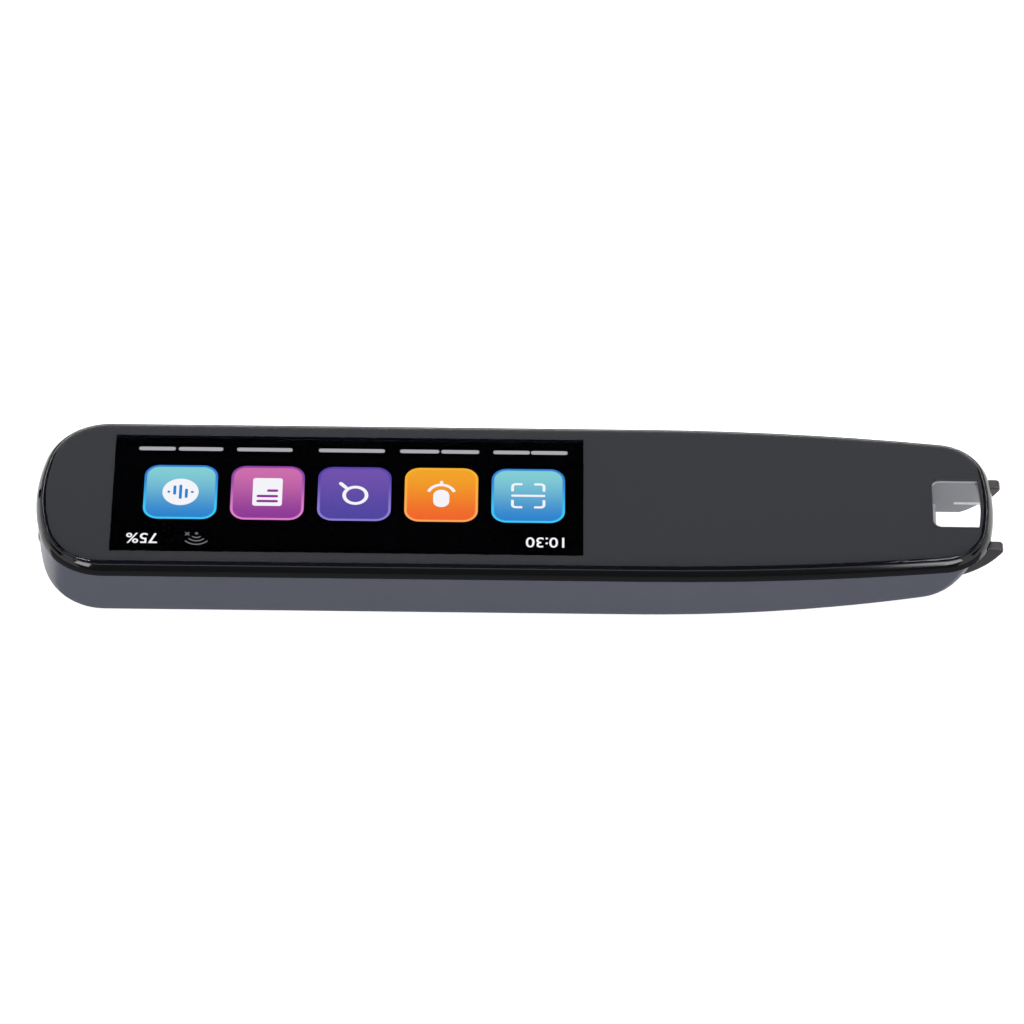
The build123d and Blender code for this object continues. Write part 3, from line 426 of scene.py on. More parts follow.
def brushed(name, tone, roughness):
    """Rolled or brushed metal."""
    made, tree, shader, place = blank(name)
    skin = use_group(tree, "surface", place, Colour=(*tone, 1.0), Drift=0.12, Grain_scale=4000.0)
    lines = use_group(tree, "brushed", place, Roughness=roughness, Spread=0.15)
    fill(tree, shader, Base_Color=skin["Colour"], Roughness=lines["Roughness"], Metallic=1.0)
    bump(tree, shader, lines["Height"], FINE)
    return made


def printed(name, tone, gloss=0.0):
    """Ink on the back of the glass: bonded to it, so that it has hardly a shine of its own."""
    made = moulded(name, tone, 0.6, drift=0.2, grain=20000.0, depth=0.0000005)
    made.node_tree.nodes["Principled BSDF"].inputs["Specular IOR Level"].default_value = gloss
    return made


def clear(name, ior, tint=(1.0, 1.0, 1.0)):
    """Clear glass or plastic, its reflections tinted; its dust is a faint change of roughness."""
    made, tree, shader, place = blank(name)
    haze = noise(tree, place, 900.0, 2.0)
    tree.links.new(ramp(tree, haze, 0.62, 0.9, 0.0, 0.05), shader.inputs["Roughness"])
    shader.inputs["Base Color"].default_value = (1.0, 1.0, 1.0, 1.0)
    shader.inputs["Specular Tint"].default_value = (*tint, 1.0)
    shader.inputs["Transmission Weight"].default_value = 1.0
    shader.inputs["IOR"].default_value = ior
    return made


def shine(tree, shader, tone):
    """Lets a surface give off a colour and reflect nothing."""
    fill(tree, shader, Base_Color=(0, 0, 0, 1), Specular_IOR_Level=0.0)
    fill(tree, shader, Emission_Color=tone, Emission_Strength=1.0)


def lit(name, tone):
    """An even lit patch of the screen, with the faint grid of its pixels."""
    made, tree, shader, place = blank(name)
    bright, dim = (*tone, 1.0), (*(0.97 * v for v in tone), 1.0)
    cells = add(tree, "ShaderNodeTexChecker", Vector=place, Scale=9000.0, Color1=bright, Color2=dim)
    shine(tree, shader, cells.outputs["Color"])
    return made


def lit_tile(name, tones, middle, half, corner):
    """A tile of the screen's picture, shaded about its own middle."""
    made, tree, shader, place = blank(name)
    centred = add(tree, "ShaderNodeMapping", Vector=place, Location=(-middle[0], -middle[1], 0.0))
    ends = {part.capitalize(): (*tone, 1.0) for part, tone in zip(TILE_PARTS, tones)}
    shade = use_group(tree, "tile_shade", centred.outputs[0], Half=half, Corner=corner, **ends)
    shine(tree, shader, shade["Colour"])
    return made


def circuit(name, mask, track, pitch=900.0):
    """Solder mask over copper tracks."""
    made, tree, shader, place = blank(name)
    skin = use_group(tree, "tracks", place, Mask=(*mask, 1.0), Track=(*track, 1.0), Pitch=pitch)
    fill(tree, shader, Base_Color=skin["Colour"], Roughness=0.32)
    bump(tree, shader, skin["Height"], 0.00002)
    return made


# The finish of each slot, mixed by the finishes operator
FINISHES = {}


def dress():
    """Gives every solid the finishes of its own slots."""
    for node in NODES.values():
        for slot in node.material_slots:
            slot.material = FINISHES[slot.material.name]


# ---------------------------------------------------------------- shapes


def piece(name, bm, finishes, body="housing", sharp=35.0):
    """Makes a mesh object of a bmesh and lets it ride on a body."""
    bmesh.ops.remove_doubles(bm, verts=bm.verts, dist=1e-7)
    bmesh.ops.recalc_face_normals(bm, faces=bm.faces)
    mesh = bpy.data.meshes.new(name)
    bm.to_mesh(mesh)
    bm.free()
    return place_mesh(name, mesh, finishes, body, sharp)


def place_mesh(name, mesh, finishes, body="housing", sharp=35.0):
    """Makes an object of a finished mesh and lets it ride on a body."""
    for each in finishes:
        mesh.materials.append(each)
    mesh.shade_smooth()
    mesh.set_sharp_from_angle(angle=math.radians(sharp))
    made = bpy.data.objects.new(name, mesh)
    bpy.context.scene.collection.objects.link(made)
    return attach(made, body)


def block(bm, low, high, corner=0.0, steps=6):
    """A block between two corners, its upright edges rounded."""
    low, high = Vector(low), Vector(high)
    verts = bmesh.ops.create_cube(bm, size=1.0)["verts"]
    bmesh.ops.scale(bm, vec=high - low, verts=verts)
    bmesh.ops.translate(bm, vec=(low + high) / 2, verts=verts)
    if corner:
        edges = dict.fromkeys(edge for vert in verts for edge in vert.link_edges)
        upright = [e for e in edges if (e.verts[0].co - e.verts[1].co).xy.length < 1e-9]
        made = bmesh.ops.bevel(
            bm,
            geom=upright,
            offset=corner,
            offset_type="OFFSET",
            segments=steps,
            profile=0.5,
            affect="EDGES",
            clamp_overlap=True,
            material=-1,
        )
        verts = dict.fromkeys((*made["verts"], *verts))
    return [v for v in verts if v.is_valid]


def only_verts(geometry):
    """The vertices among what an operator gives back."""
    return [each for each in geometry if isinstance(each, bmesh.types.BMVert)]


def inset(bm, faces, thickness, depth=0.0):
    """Shrinks a region inwards and moves it along its normal."""
    bmesh.ops.inset_region(
        bm, faces=faces, thickness=thickness, depth=depth, use_boundary=True, use_even_offset=True
    )


def cut(bm, point, normal, outer=False):
    """Cuts everything at a plane and, where asked, drops what lies beyond it."""
    everything = [*bm.verts, *bm.edges, *bm.faces]
    bmesh.ops.bisect_plane(bm, geom=everything, plane_co=point, plane_no=normal, clear_outer=outer)


def disc(bm, middle, radius, low, high, segments=48):
    """An upright disc or post."""
    bmesh.ops.create_cone(
        bm,
        cap_ends=True,
        cap_tris=False,
        segments=segments,
        radius1=radius,
        radius2=radius,
        depth=high - low,
        matrix=Matrix.Translation((middle[0], middle[1], (low + high) / 2)),
    )


def arc(bm, middle, radius, width, low, high, start, sweep, steps=24):
    """A flat band bent round a middle, from a start angle through a sweep, in degrees."""
    verts = bmesh.ops.create_grid(bm, x_segments=1, y_segments=1, size=0.5)["verts"]
    upright = Matrix.Rotation(math.radians(90), 4, "X")
    size = Matrix.Diagonal((width, 1.0, high - low, 1.0))
    shift = Matrix.Translation((radius, 0.0, (low + high) / 2))
    turn = Matrix.Rotation(math.radians(start), 4, "Z")
    whole = Matrix.Translation((middle[0], middle[1], 0.0)) @ turn @ shift @ size @ upright
    bmesh.ops.transform(bm, matrix=whole, verts=verts)
    face = verts[0].link_faces[0]
    section = [*face.edges, *face.verts]
    full = abs(sweep) >= 360
    if full:
        bmesh.ops.delete(bm, geom=[face], context="FACES_ONLY")
    else:
        section.append(face)
    bmesh.ops.spin(
        bm,
        geom=section,
        cent=(middle[0], middle[1], 0.0),
        axis=(0, 0, 1),
        angle=math.radians(sweep),
        steps=steps,
        use_merge=full,
    )


# ---------------------------------------------------------------- operators


class TRANSLATOR_OT_finishes(bpy.types.Operator):
    """Mix every finish of the housing, the glass and the parts inside"""

    bl_idname = "translator.finishes"
    bl_label = "Mix the finishes"

    def execute(self, context):
        housing = context.scene.translator_housing
        glass = context.scene.translator_glass
        build_surface_group()
        build_brushed_group()
        build_tile_group()
        build_track_group()
        FINISHES.update(
            cover_satin=moulded(
                "satin paint",
                housing.cover,
                housing.cover_roughness,
                drift=0.16,
                sheen=0.06,
                grain=14000.0,
                depth=0.000004,
            ),
            frame_black=moulded(
                "gloss black", housing.frame, housing.frame_roughness, drift=0.2, sheen=0.03, depth=0.0000004
            ),
            fork_dark=moulded("dark acetal", housing.fork, 0.34, grain=7000.0, depth=0.000006),
            button_dark=moulded("button paint", housing.button, 0.36, depth=0.000003),
            shroud_grey=moulded("shroud grey", screen_tone(152, 153, 160), 0.5, grain=6000.0),
            diffuser_white=moulded("diffuser white", screen_tone(240, 241, 246), 0.5, drift=0.04),
            chip_black=moulded("chip black", screen_tone(32, 32, 35), 0.55, drift=0.3, depth=0.000006),
            cell_pouch=brushed("battery foil", screen_tone(168, 170, 176), 0.32),
            lead_red=moulded("lead red", screen_tone(168, 26, 24), 0.42),
            connector_white=moulded("connector white", screen_tone(222, 219, 206), 0.45),
            foam=moulded("foam", screen_tone(34, 34, 37), 0.95, drift=0.5, grain=3500.0, depth=0.00006),
            speaker_black=moulded("speaker black", screen_tone(26, 26, 28), 0.5, grain=5000.0),
            tongue_black=moulded("tongue black", screen_tone(20, 20, 22), 0.42),
            steel=brushed("steel", screen_tone(176, 178, 182), 0.26),
            spring_steel=brushed("spring steel", screen_tone(150, 150, 156), 0.22),
            contact_gold=brushed("contact gold", screen_tone(214, 170, 84), 0.24),
            board_mask=circuit("solder mask", screen_tone(16, 52, 38), screen_tone(34, 92, 66)),
            flex_film=circuit("flex film", screen_tone(116, 66, 20), screen_tone(176, 108, 40), 1400.0),
            tape=moulded("black tape", screen_tone(16, 16, 18), 0.8, drift=0.3),
            screen=printed("screen black", screen_tone(1, 1, 2)),
            backlight_white=moulded("backlight white", screen_tone(228, 230, 234), 0.4, drift=0.05),
            # The black print's blue tint is partly painted reflection, for the glass's bluish cast
            black_print=printed("black print", glass.print_and_reflection_tone),
            white_print=printed("white print", screen_tone(244, 245, 248), 0.2),
            cone_black=moulded("cone black", screen_tone(40, 40, 44), 0.5, drift=0.3, grain=5000.0),
            capacitor_tan=moulded("capacitor tan", screen_tone(150, 116, 84), 0.4, drift=0.2),
            solder=brushed("solder", screen_tone(190, 192, 196), 0.2),
            kapton=moulded("amber tape", screen_tone(176, 112, 36), 0.25, drift=0.2),
            # Painted highlight: the pale colour of the strip round the window stands in for light caught by
            # its edges
            lip_pale=moulded("painted highlight lip", screen_tone(206, 208, 214), 0.6, drift=0.05),
            clear_pane=clear("clear pane", 1.49),
            smoked_glass=clear("cover glass", 1.49, (0.92, 0.95, 1.0)),
            coated=clear("coated glass", 1.05),
        )
        dress()
        return {"FINISHED"}


def glass_base(lift):
    """The underside of the cover glass as one face, lifted off its place."""
    bm = bmesh.new()
    bm.from_mesh(NODES["cover_glass"].data)
    bmesh.ops.remove_doubles(bm, verts=bm.verts, dist=1e-7)
    upper = [f for f in bm.faces if any(abs(v.co.z - GLASS[0].z) > 1e-6 for v in f.verts)]
    bmesh.ops.delete(bm, geom=upper, context="FACES")
    loose = [v for v in bm.verts if not v.link_faces]
    bmesh.ops.delete(bm, geom=loose, context="VERTS")
    inner = [e for e in bm.edges if len(e.link_faces) == 2]
    bmesh.ops.dissolve_edges(bm, edges=inner, use_verts=False)
    bmesh.ops.translate(bm, vec=(0, 0, lift), verts=bm.verts)
    return bm


class TRANSLATOR_OT_cover_glass(bpy.types.Operator):
    """Build the cover glass with its rounded edge and its bonded pad over the display"""

    bl_idname = "translator.cover_glass"
    bl_label = "Cover glass"

    def execute(self, context):
        glass = context.scene.translator_glass
        bm = glass_base(-glass.seat_gap)
        floor_z = GLASS[0].z
        grown = bmesh.ops.extrude_face_region(bm, geom=bm.faces[:], use_keep_orig=True)["geom"]
        lift = GLASS[1].z - glass.edge_drop - floor_z + glass.seat_gap
        bmesh.ops.translate(bm, vec=(0, 0, lift), verts=only_verts(grown))
        bmesh.ops.recalc_face_normals(bm, faces=bm.faces)
        top = [g for g in grown if isinstance(g, bmesh.types.BMFace)]
        run = rise = 0.0
        for step in range(1, glass.edge_steps + 1):
            turn = math.radians(90) * step / glass.edge_steps
            far = glass.edge_run * (1 - math.cos(turn))
            high = glass.edge_drop * math.sin(turn)
            inset(bm, top, far - run, high - rise)
            run, rise = far, high
        opening = ((glass.screen_left, glass.screen_near), (glass.screen_right, glass.screen_far))
        margin = Vector((glass.pad_margin, glass.pad_margin))
        film = (LIT_AREA[0] - margin, LIT_AREA[1] + margin)
        for low, high in (opening, film):
            for axis in (0, 1):
                for value in (low[axis], high[axis]):
                    point = [0, 0, 0]
                    normal = [0, 0, 0]
                    point[axis], normal[axis] = value, 1
                    cut(bm, point, normal)
        bmesh.ops.recalc_face_normals(bm, faces=bm.faces)

        def flat_over(low, high, up):
            """The level faces within a rectangle that point up, or down."""
            found = []
            for face in bm.faces:
                spot = face.calc_center_median()
                inside = low[0] < spot.x < high[0] and low[1] < spot.y < high[1]
                if inside and face.normal.z * up > 0.99:
                    found.append(face)
            return found

        for face in flat_over(*opening, 1):
            face.material_index = 1
        under = flat_over(*film, -1)
        for face in under:
            face.material_index = 1
        pad = bmesh.ops.extrude_face_region(bm, geom=under)["geom"]
        bmesh.ops.delete(bm, geom=[f for f in under if f.is_valid], context="FACES_ONLY")
        down = DISPLAY[1].z - glass.bond_drop - (floor_z - glass.seat_gap)
        bmesh.ops.translate(bm, vec=(0, 0, down), verts=only_verts(pad))
        skins = (FINISHES["smoked_glass"], FINISHES["coated"])
        made = piece("glass_cover", bm, skins, sharp=25.0)
        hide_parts("cover_glass")
        return {"FINISHED"}


def screen_layers(screen):
    """Heights of the tiles, of the glyphs on them and of the marks on the glyphs."""
    base = DISPLAY[1].z
    return [base + n * screen.layer for n in range(4)]


def tile_middles(screen):
    """The middle of each tile, from the tail end to the tip end."""
    return [Vector((screen.tile_first + n * screen.tile_pitch, screen.tile_row)) for n in range(5)]


class TRANSLATOR_OT_window_rim(bpy.types.Operator):
    """Print the rim at the tip of the scanning window, and lay a pale strip round it, a painted highlight on
    the window's edges
    """

    bl_idname = "translator.window_rim"
    bl_label = "Window rim"

    def execute(self, context):
        glass = context.scene.translator_glass
        low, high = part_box("window_line")
        self.print_rim(glass, low, high)
        self.lay_highlight_lip(glass, high)
        return {"FINISHED"}

    def print_rim(self, glass, low, high):
        """A band of black print that follows the glass's edge at the tip."""
        half, start, skirt = 4.95 * MM, 60.0 * MM, 0.1 * MM
        bm = glass_base(0.0)
        middle = bm.faces[:]
        bmesh.ops.recalc_face_normals(bm, faces=bm.faces)
        inset(bm, middle, glass.rim_reach)
        bmesh.ops.delete(bm, geom=middle, context="FACES")
        cut(bm, (0, half, 0), (0, 1, 0), outer=True)
        cut(bm, (0, -half, 0), (0, -1, 0), outer=True)
        cut(bm, (start, 0, 0), (-1, 0, 0), outer=True)
        under = bmesh.ops.extrude_face_region(bm, geom=bm.faces[:], use_keep_orig=True)["geom"]
        bmesh.ops.translate(bm, vec=(0, 0, low.z - high.z - skirt), verts=only_verts(under))
        piece("rim_print", bm, (FINISHES["black_print"],))

    def lay_highlight_lip(self, glass, high):
        """A pale strip behind the window and along its far side, bent round its corner: painted highlight
        where these edges catch the light.
        """
        half, corner, gap, width = 4.86 * MM, 1.4 * MM, 0.65 * MM, glass.highlight_lip_width
        rear_overlap, side_overlap, end_gap = 0.2 * MM, 0.05 * MM, 0.3 * MM
        top, bottom = high.z - 0.02 * MM, high.z - 0.4 * MM
        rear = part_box("camera_window")[1].x + gap
        reach = half - corner + rear_overlap
        side = rear + corner - side_overlap
        bm = bmesh.new()
        # Painted highlight: pale strips where the window's rear and far edges catch the light
        block(bm, (rear, -reach, bottom), (rear + width, reach, top))
        block(bm, (side, half - width, bottom), (high.x - end_gap, half, top))
        arc(bm, (rear + corner, half - corner), corner - width / 2, width, bottom, top, 90, 90, 10)
        piece("window_highlight_lip", bm, (FINISHES["lip_pale"],))


class TRANSLATOR_OT_screen_tiles(bpy.types.Operator):
    """Light the five tiles of the screen"""

    bl_idname = "translator.screen_tiles"
    bl_label = "Screen tiles"

    def execute(self, context):
        screen = context.scene.translator_screen
        base, top = screen_layers(screen)[:2]
        half = screen.tile_size / 2
        for name, middle in zip(TILE_TONES, tile_middles(screen)):
            bm = bmesh.new()
            low = (middle.x - half, middle.y - half, base)
            high = (middle.x + half, middle.y + half, top)
            block(bm, low, high, screen.tile_radius, 8)
            tones = [getattr(screen, f"{name}_{part}".replace(" ", "_")) for part in TILE_PARTS]
            shade = lit_tile(f"{name} tile", tones, middle, half, screen.tile_radius)
            piece(f"tile_{name}", bm, (shade,))
        return {"FINISHED"}


class TRANSLATOR_OT_screen_glyphs(bpy.types.Operator):
    """Draw the plain glyphs on the tiles"""

    bl_idname = "translator.screen_glyphs"
    bl_label = "Screen glyphs"

    def execute(self, context):
        screen = context.scene.translator_screen
        low, high, top = screen_layers(screen)[1:]
        white = lit("screen white", screen.white)
        record, notes, find, speak, scan = tile_middles(screen)

        def bar(bm, middle, x, y, wide, tall, base, lid, corner=None):
            """A bar with round ends or corners, placed from its tile's middle in millimetres."""
            spot = Vector((middle.x + x * MM, middle.y + y * MM))
            size = Vector((wide, tall)) * MM / 2
            radius = min(size) * 0.98 if corner is None else corner * MM
            block(bm, (*(spot - size), base), (*(spot + size), lid), radius, 5)

        bm = bmesh.new()
        disc(bm, record, 2.75 * MM, low, high, 64)
        piece("glyph_record", bm, (white,))
        bm = bmesh.new()
        pitch, wide = 0.89, 0.45
        for step, (tall, shift) in enumerate(WAVE_BARS, -2):
            bar(bm, record, step * pitch, shift, wide, tall, high, top)
        wave = lit("wave marks", screen.record_near)
        piece("glyph_record_wave", bm, (wave,))

        bm = bmesh.new()
        bar(bm, notes, 0, 0.18, 4.5, 5.75, low, high, 0.42)
        piece("glyph_notes", bm, (white,))
        bm = bmesh.new()
        for each in PAGE_LINES:
            bar(bm, notes, *each, high, top)
        lines = lit("page lines", screen.notes_near)
        piece("glyph_notes_lines", bm, (lines,))

        ring = (find.x + 0.15 * MM, find.y - 0.3 * MM)
        bm = bmesh.new()
        arc(bm, ring, 1.7 * MM, 0.55 * MM, low, high, 0, 360, 48)
        piece("glyph_find_ring", bm, (white,))
        bm = bmesh.new()
        verts = block(bm, (1.9 * MM, -0.3 * MM, low), (3.6 * MM, 0.3 * MM, high), 0.28 * MM, 5)
        turn = Matrix.Translation((*ring, 0)) @ Matrix.Rotation(math.radians(133), 4, "Z")
        bmesh.ops.transform(bm, matrix=turn, verts=verts)
        piece("glyph_find_handle", bm, (white,))

        bm = bmesh.new()
        for each in MICROPHONE_BARS:
            bar(bm, speak, *each, low, high)
        arc(bm, speak, 2.05 * MM, 0.5 * MM, low, high, 18, 144, 24)
        piece("glyph_speak", bm, (white,))

        bm = bmesh.new()
        reach, leg, line, bend = 2.6, 1.7, 0.42, 0.7
        straight = leg - bend
        for side in (-1, 1):
            for end in (-1, 1):
                near_x, near_y = reach - leg + straight / 2, reach - line / 2
                bar(bm, scan, side * near_x, end * near_y, straight, line, low, high, 0.02)
                bar(bm, scan, side * near_y, end * near_x, line, straight, low, high, 0.02)
                centre = scan + Vector((side, end)) * (reach - bend) * MM
                start = math.degrees(math.atan2(end, side)) - 45
                arc(bm, centre, (bend - line / 2) * MM, line * MM, low, high, start, 90, 6)
        bar(bm, scan, 0, 0, 2 * reach, line, low, high)
        piece("glyph_scan", bm, (white,))
        return {"FINISHED"}


def digits(words, size, spot, low, high):
    """Plain digits as a mesh, turned to be read from the far side."""
    text = bpy.data.curves.new("digits", "FONT")
    text.body = words
    text.size = size
    text.align_x = "CENTER"
    text.align_y = "CENTER"
    text.extrude = (high - low) / 2
    text.offset = size * 0.008
    text.resolution_u = 4
    holder = bpy.data.objects.new("digits", text)
    bpy.context.scene.collection.objects.link(holder)
    bpy.context.view_layer.update()
    seen = holder.evaluated_get(bpy.context.evaluated_depsgraph_get())
    mesh = bpy.data.meshes.new_from_object(seen)
    bpy.data.objects.remove(holder)
    bpy.data.curves.remove(text)
    turn = Matrix.Translation((*spot, (low + high) / 2)) @ Matrix.Rotation(math.pi, 4, "Z")
    mesh.transform(turn)
    return mesh


class TRANSLATOR_OT_status_rows(bpy.types.Operator):
    """Draw the digits, the signal mark and the bars that stand for the labels"""

    bl_idname = "translator.status_rows"
    bl_label = "Status rows"

    def execute(self, context):
        screen = context.scene.translator_screen
        low, high = screen_layers(screen)[:2]
        white = lit("status white", screen.white)
        grey = lit("label grey", screen.label)
        size, row = 2.9 * MM, -8.55 * MM
        for name, words, middle in (("charge", "75%", -56.9), ("clock", "10:30", 4.2)):
            mesh = digits(words, size, (middle * MM, row), low, high)
            place_mesh(f"digits_{name}", mesh, (white,))
        bm = bmesh.new()
        spot = Vector((-48.68, -7.6)) * MM
        for radius in (0.85, 1.53, 2.25):
            arc(bm, spot, radius * MM, 0.22 * MM, low, high, 222, 96, 14)
        disc(bm, spot, 0.24 * MM, low, high, 20)
        for turn in (45, -45):
            cross = block(bm, (-0.45 * MM, -0.09 * MM, low), (0.45 * MM, 0.09 * MM, high))
            place = Matrix.Translation((spot.x - 1.4 * MM, spot.y - 0.1 * MM, 0))
            spun = place @ Matrix.Rotation(math.radians(turn), 4, "Z")
            bmesh.ops.transform(bm, matrix=spun, verts=cross)
        piece("signal_mark", bm, (lit("signal grey", screen.mark),))
        bm = bmesh.new()
        near, far, round_end = 9.6 * MM, 10.35 * MM, 0.36 * MM
        for middle, parts in zip(tile_middles(screen), LABELS):
            for shift, wide in parts:
                spot = middle.x + shift * MM
                half = wide * MM / 2
                block(bm, (spot - half, near, low), (spot + half, far, high), round_end, 5)
        piece("label_bars", bm, (grey,))
        return {"FINISHED"}


class TRANSLATOR_OT_board_details(bpy.types.Operator):
    """Add the parts that show through the slots, the grille and the port"""

    bl_idname = "translator.board_details"
    bl_label = "Details inside"

    def execute(self, context):
        self.speaker_cone()
        self.port_contacts()
        self.microphone_slot_shade()
        self.board_parts()
        self.cell_wrap()
        return {"FINISHED"}

    def speaker_cone(self):
        """A dished cone with a dome, under the grille."""
        low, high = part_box("speaker_unit")
        middle = (low + high) / 2
        bm = bmesh.new()
        disc(bm, middle, 5.6 * MM, low.z + 0.02 * MM, low.z + 0.12 * MM, 64)
        face = [f for f in bm.faces if f.normal.z < -0.9]
        for run, rise in CONE_RINGS:
            inset(bm, face, run * MM)
            bmesh.ops.translate(bm, vec=(0, 0, rise * MM), verts=face[0].verts[:])
        piece("speaker_cone", bm, (FINISHES["cone_black"],))

    def port_contacts(self):
        """The gold contacts on both faces of the port's tongue."""
        low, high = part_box("usb_tongue")
        count, pitch, half, proud = 12, 0.5 * MM, 0.125 * MM, 0.02 * MM
        start, end = low.x + 0.15 * MM, low.x + 3.2 * MM
        bm = bmesh.new()
        for level in (low.z, high.z):
            for step in range(count):
                y = (step - (count - 1) / 2) * pitch
                block(bm, (start, y - half, level - proud), (end, y + half, level + proud))
        piece("port_contacts", bm, (FINISHES["contact_gold"],))

    def microphone_slot_shade(self):
        """A dark layer inside the microphone's slot: painted shade that makes the slot read dark."""
        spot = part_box("bezel_frame")[0].x + 0.6 * MM
        half_width, half_length, bottom, top = 0.19 * MM, 0.84 * MM, 11.0 * MM, 11.15 * MM
        bm = bmesh.new()
        # Painted shade: a dark layer that stands in for the shade inside the slot
        block(bm, (spot - half_width, -half_length, bottom), (spot + half_width, half_length, top))
        piece("microphone_slot_shade", bm, (FINISHES["foam"],))

    def board_parts(self):
        """Rows of small parts with their solder on the main board's underside."""
        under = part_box("main_board")[0].z
        body, cap = Vector((0.2, 0.3)) * MM, Vector((0.21, 0.12)) * MM
        in_row, pitch, cap_shift, sunk = 5, 1.1 * MM, 0.4 * MM, 0.02 * MM
        small = bmesh.new()
        ends = bmesh.new()
        for x, y in BOARD_ROWS:
            for step in range(in_row):
                spot = Vector((x * MM + step * pitch, y * MM))
                low, high = spot - body, spot + body
                block(small, (*low, under - 0.36 * MM), (*high, under + sunk))
                for side in (-1, 1):
                    middle = spot + Vector((0, side * cap_shift))
                    low, high = middle - cap, middle + cap
                    block(ends, (*low, under - 0.38 * MM), (*high, under + sunk))
        piece("board_capacitors", small, (FINISHES["capacitor_tan"],))
        piece("board_solder", ends, (FINISHES["solder"],))

    def cell_wrap(self):
        """The tape round the tabs of the battery's pouch."""
        low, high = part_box("battery_cell")
        inward, start, end, sunk, proud = 0.6 * MM, 4.0 * MM, 0.3 * MM, 0.02 * MM, 0.06 * MM
        rear = (high.x - start, low.y + inward, high.z - sunk)
        front = (high.x - end, high.y - inward, high.z + proud)
        bm = bmesh.new()
        block(bm, rear, front)
        piece("battery_tape", bm, (FINISHES["kapton"],))


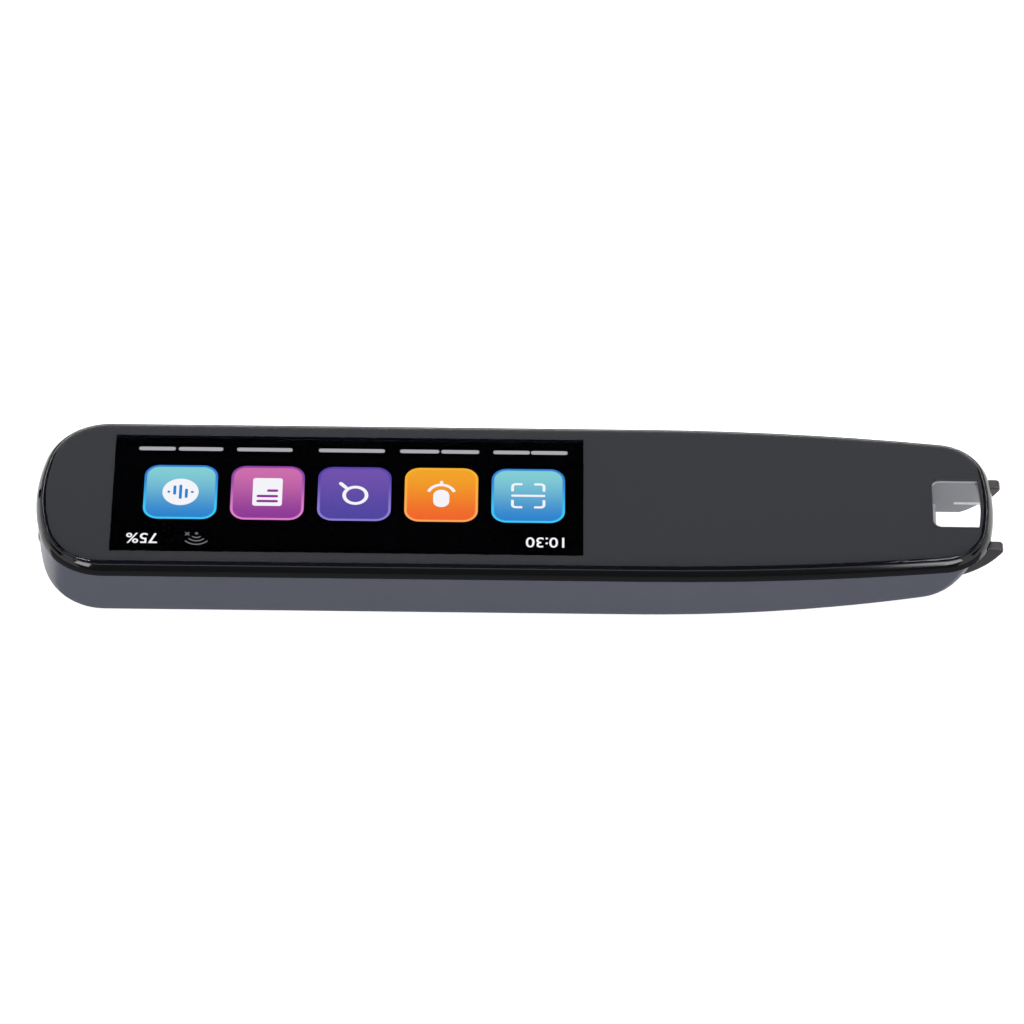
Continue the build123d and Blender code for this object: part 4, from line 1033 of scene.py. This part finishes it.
class TRANSLATOR_OT_stage(bpy.types.Operator):
    """Set the floor, the cards, the lamps and the camera"""

    bl_idname = "translator.stage"
    bl_label = "Stage"

    def execute(self, context):
        stage = context.scene.translator_stage
        self.sky(stage)
        self.floor(stage)
        self.cards()
        self.lamps(stage)
        self.camera(stage)
        context.scene.view_settings.view_transform = "Standard"
        return {"FINISHED"}

    def seen_white(self, tree):
        """One where a ray comes from the camera, a mirror or a glass, else nought."""
        path = tree.nodes.new("ShaderNodeLightPath").outputs
        either = sums(tree, "MAXIMUM", path["Is Camera Ray"], path["Is Glossy Ray"])
        return sums(tree, "MAXIMUM", either, path["Is Transmission Ray"])

    def sky(self, stage):
        world = bpy.data.worlds.new("studio")
        bpy.context.scene.world = world
        world.use_nodes = True
        tree = world.node_tree
        backdrop = tree.nodes["Background"]
        backdrop.inputs["Color"].default_value = (1, 1, 1, 1)
        strength = ramp(tree, self.seen_white(tree), 0.0, 1.0, stage.sky, 1.0)
        tree.links.new(strength, backdrop.inputs["Strength"])

    def plane(self, name, whole, skin):
        """A flat square of side 1, laid out by a matrix, that isn't part of the object."""
        bm = bmesh.new()
        bmesh.ops.create_grid(bm, x_segments=1, y_segments=1, size=0.5)
        bmesh.ops.transform(bm, matrix=whole, verts=bm.verts)
        mesh = bpy.data.meshes.new(name)
        bm.to_mesh(mesh)
        bm.free()
        mesh.materials.append(skin)
        obj = bpy.data.objects.new(name, mesh)
        bpy.context.scene.collection.objects.link(obj)
        return obj

    def bare(self, name):
        """A new material with its tree, without a shader."""
        made = bpy.data.materials.new(name)
        made.use_nodes = True
        tree = made.node_tree
        tree.nodes.remove(tree.nodes["Principled BSDF"])
        return made, tree

    def floor(self, stage):
        made, tree = self.bare("floor white")
        white = sums(tree, "MULTIPLY", self.seen_white(tree), stage.floor_glow)
        matt = add(tree, "ShaderNodeBsdfDiffuse", Color=(0.8, 0.8, 0.8, 1))
        glow = add(tree, "ShaderNodeEmission", Strength=white)
        both = tree.nodes.new("ShaderNodeAddShader")
        for socket, each in zip(both.inputs, (matt, glow)):
            tree.links.new(each.outputs[0], socket)
        tree.links.new(both.outputs[0], tree.nodes["Material Output"].inputs["Surface"])
        drop = Matrix.Translation((0, 0, -stage.floor_gap))
        self.plane("floor", drop @ Matrix.Scale(stage.floor_size, 4), made)

    def card(self, name, middle, size, facing, tone, strength=1.0):
        """A plain card that only reflections see."""
        made, tree = self.bare(f"{name} face")
        glow = add(tree, "ShaderNodeEmission", Color=(*tone, 1.0), Strength=strength)
        tree.links.new(glow.outputs[0], tree.nodes["Material Output"].inputs["Surface"])
        aim = (Vector(facing) - Vector(middle)).to_track_quat("Z", "Y").to_matrix().to_4x4()
        whole = Matrix.Translation(middle) @ aim @ Matrix.Diagonal((*size, 1.0, 1.0))
        obj = self.plane(name, whole, made)
        for ray in ("camera", "diffuse", "transmission", "volume_scatter", "shadow"):
            setattr(obj, f"visible_{ray}", False)

    def cards(self):
        """Grey cards in front and at both ends, a grey card on the floor that paints the floor's shadow into
        reflections, and two tall soft boxes.
        """
        self.card("card_front", (0, -1.6, 1.35), (4.0, 3.6), (0, 0, 0), (0.12, 0.12, 0.14))
        # Painted shadow: a grey card over the floor in front, seen only in reflections, stands in for the
        # floor shaded by the object
        self.card("floor_shade_card", (0, -1.51, -0.0003), (3.2, 3.0), (0, -1.51, 1), (0.28, 0.29, 0.33))
        away, box_height, card_height, behind = 1.35, 1.85, 0.95, 0.9
        for end, side, near_turn, far_turn in (("tail", -1, 27, 50), ("tip", 1, 17, 52)):
            spot = (side * 1.3, behind, card_height)
            facing = (0, behind, card_height)
            self.card(f"card_{end}", spot, (2.6, 1.2), facing, (0.045, 0.045, 0.055))
            turn = math.radians((near_turn + far_turn) / 2)
            wide = 2 * away * math.tan(math.radians((far_turn - near_turn) / 2))
            spot = (side * away * math.sin(turn), -away * math.cos(turn), box_height)
            self.card(f"box_{end}", spot, (wide, 2.5), (0, 0, box_height), (0.98, 0.97, 1.0), 7.5)

    def lamp(self, name, spot, size, power):
        """A flat lamp turned to the object and hidden from the camera, mirrors and glass."""
        data = bpy.data.lights.new(name, "AREA")
        data.shape = "RECTANGLE"
        data.size, data.size_y = size
        data.energy = power
        obj = bpy.data.objects.new(name, data)
        obj.location = spot
        obj.rotation_euler = Vector(spot).to_track_quat("Z", "Y").to_euler()
        for ray in ("camera", "glossy", "transmission"):
            setattr(obj, f"visible_{ray}", False)
        bpy.context.scene.collection.objects.link(obj)

    def lamps(self, stage):
        self.lamp("key", (0.0, 0.25, 1.3), (1.4, 0.8), stage.key_power)
        self.lamp("front", (0.0, -1.3, 0.5), (1.6, 0.8), stage.fill_power)

    def camera(self, stage):
        data = bpy.data.cameras.new("camera")
        data.lens = stage.lens
        data.sensor_width = 36.0
        data.clip_start = 0.01
        data.clip_end = 50.0
        obj = bpy.data.objects.new("camera", data)
        target = Vector(stage.target)
        rise = stage.camera_height
        away = Vector((0, -math.cos(rise), math.sin(rise))) * stage.camera_distance
        turn = Matrix.Rotation(math.pi / 2 - rise, 4, "X") @ Matrix.Rotation(stage.camera_roll, 4, "Z")
        obj.matrix_world = Matrix.Translation(target + away) @ turn
        bpy.context.scene.collection.objects.link(obj)
        bpy.context.scene.camera = obj


OPERATORS = (
    TRANSLATOR_OT_finishes,
    TRANSLATOR_OT_cover_glass,
    TRANSLATOR_OT_window_rim,
    TRANSLATOR_OT_screen_tiles,
    TRANSLATOR_OT_screen_glyphs,
    TRANSLATOR_OT_status_rows,
    TRANSLATOR_OT_board_details,
    TRANSLATOR_OT_stage,
)


class TRANSLATOR_PT_panel(bpy.types.Panel):
    """The steps that dress the translator, in order"""

    bl_idname = "TRANSLATOR_PT_panel"
    bl_label = "Handheld translator"
    bl_space_type = "VIEW_3D"
    bl_region_type = "UI"
    bl_category = "Translator"

    def draw(self, context):
        for each in OPERATORS:
            self.layout.operator(each.bl_idname)


SETTINGS = {
    "translator_housing": HousingSettings,
    "translator_glass": GlassSettings,
    "translator_screen": ScreenSettings,
    "translator_stage": StageSettings,
}


def register():
    for each in (*SETTINGS.values(), *OPERATORS, TRANSLATOR_PT_panel):
        bpy.utils.register_class(each)
    for name, kind in SETTINGS.items():
        setattr(bpy.types.Scene, name, bpy.props.PointerProperty(type=kind))


def unregister():
    for name in SETTINGS:
        delattr(bpy.types.Scene, name)
    for each in reversed((*SETTINGS.values(), *OPERATORS, TRANSLATOR_PT_panel)):
        bpy.utils.unregister_class(each)


def main():
    register()
    for each in OPERATORS:
        family, step = each.bl_idname.split(".")
        getattr(getattr(bpy.ops, family), step)()


if __name__ == "__main__":
    main()
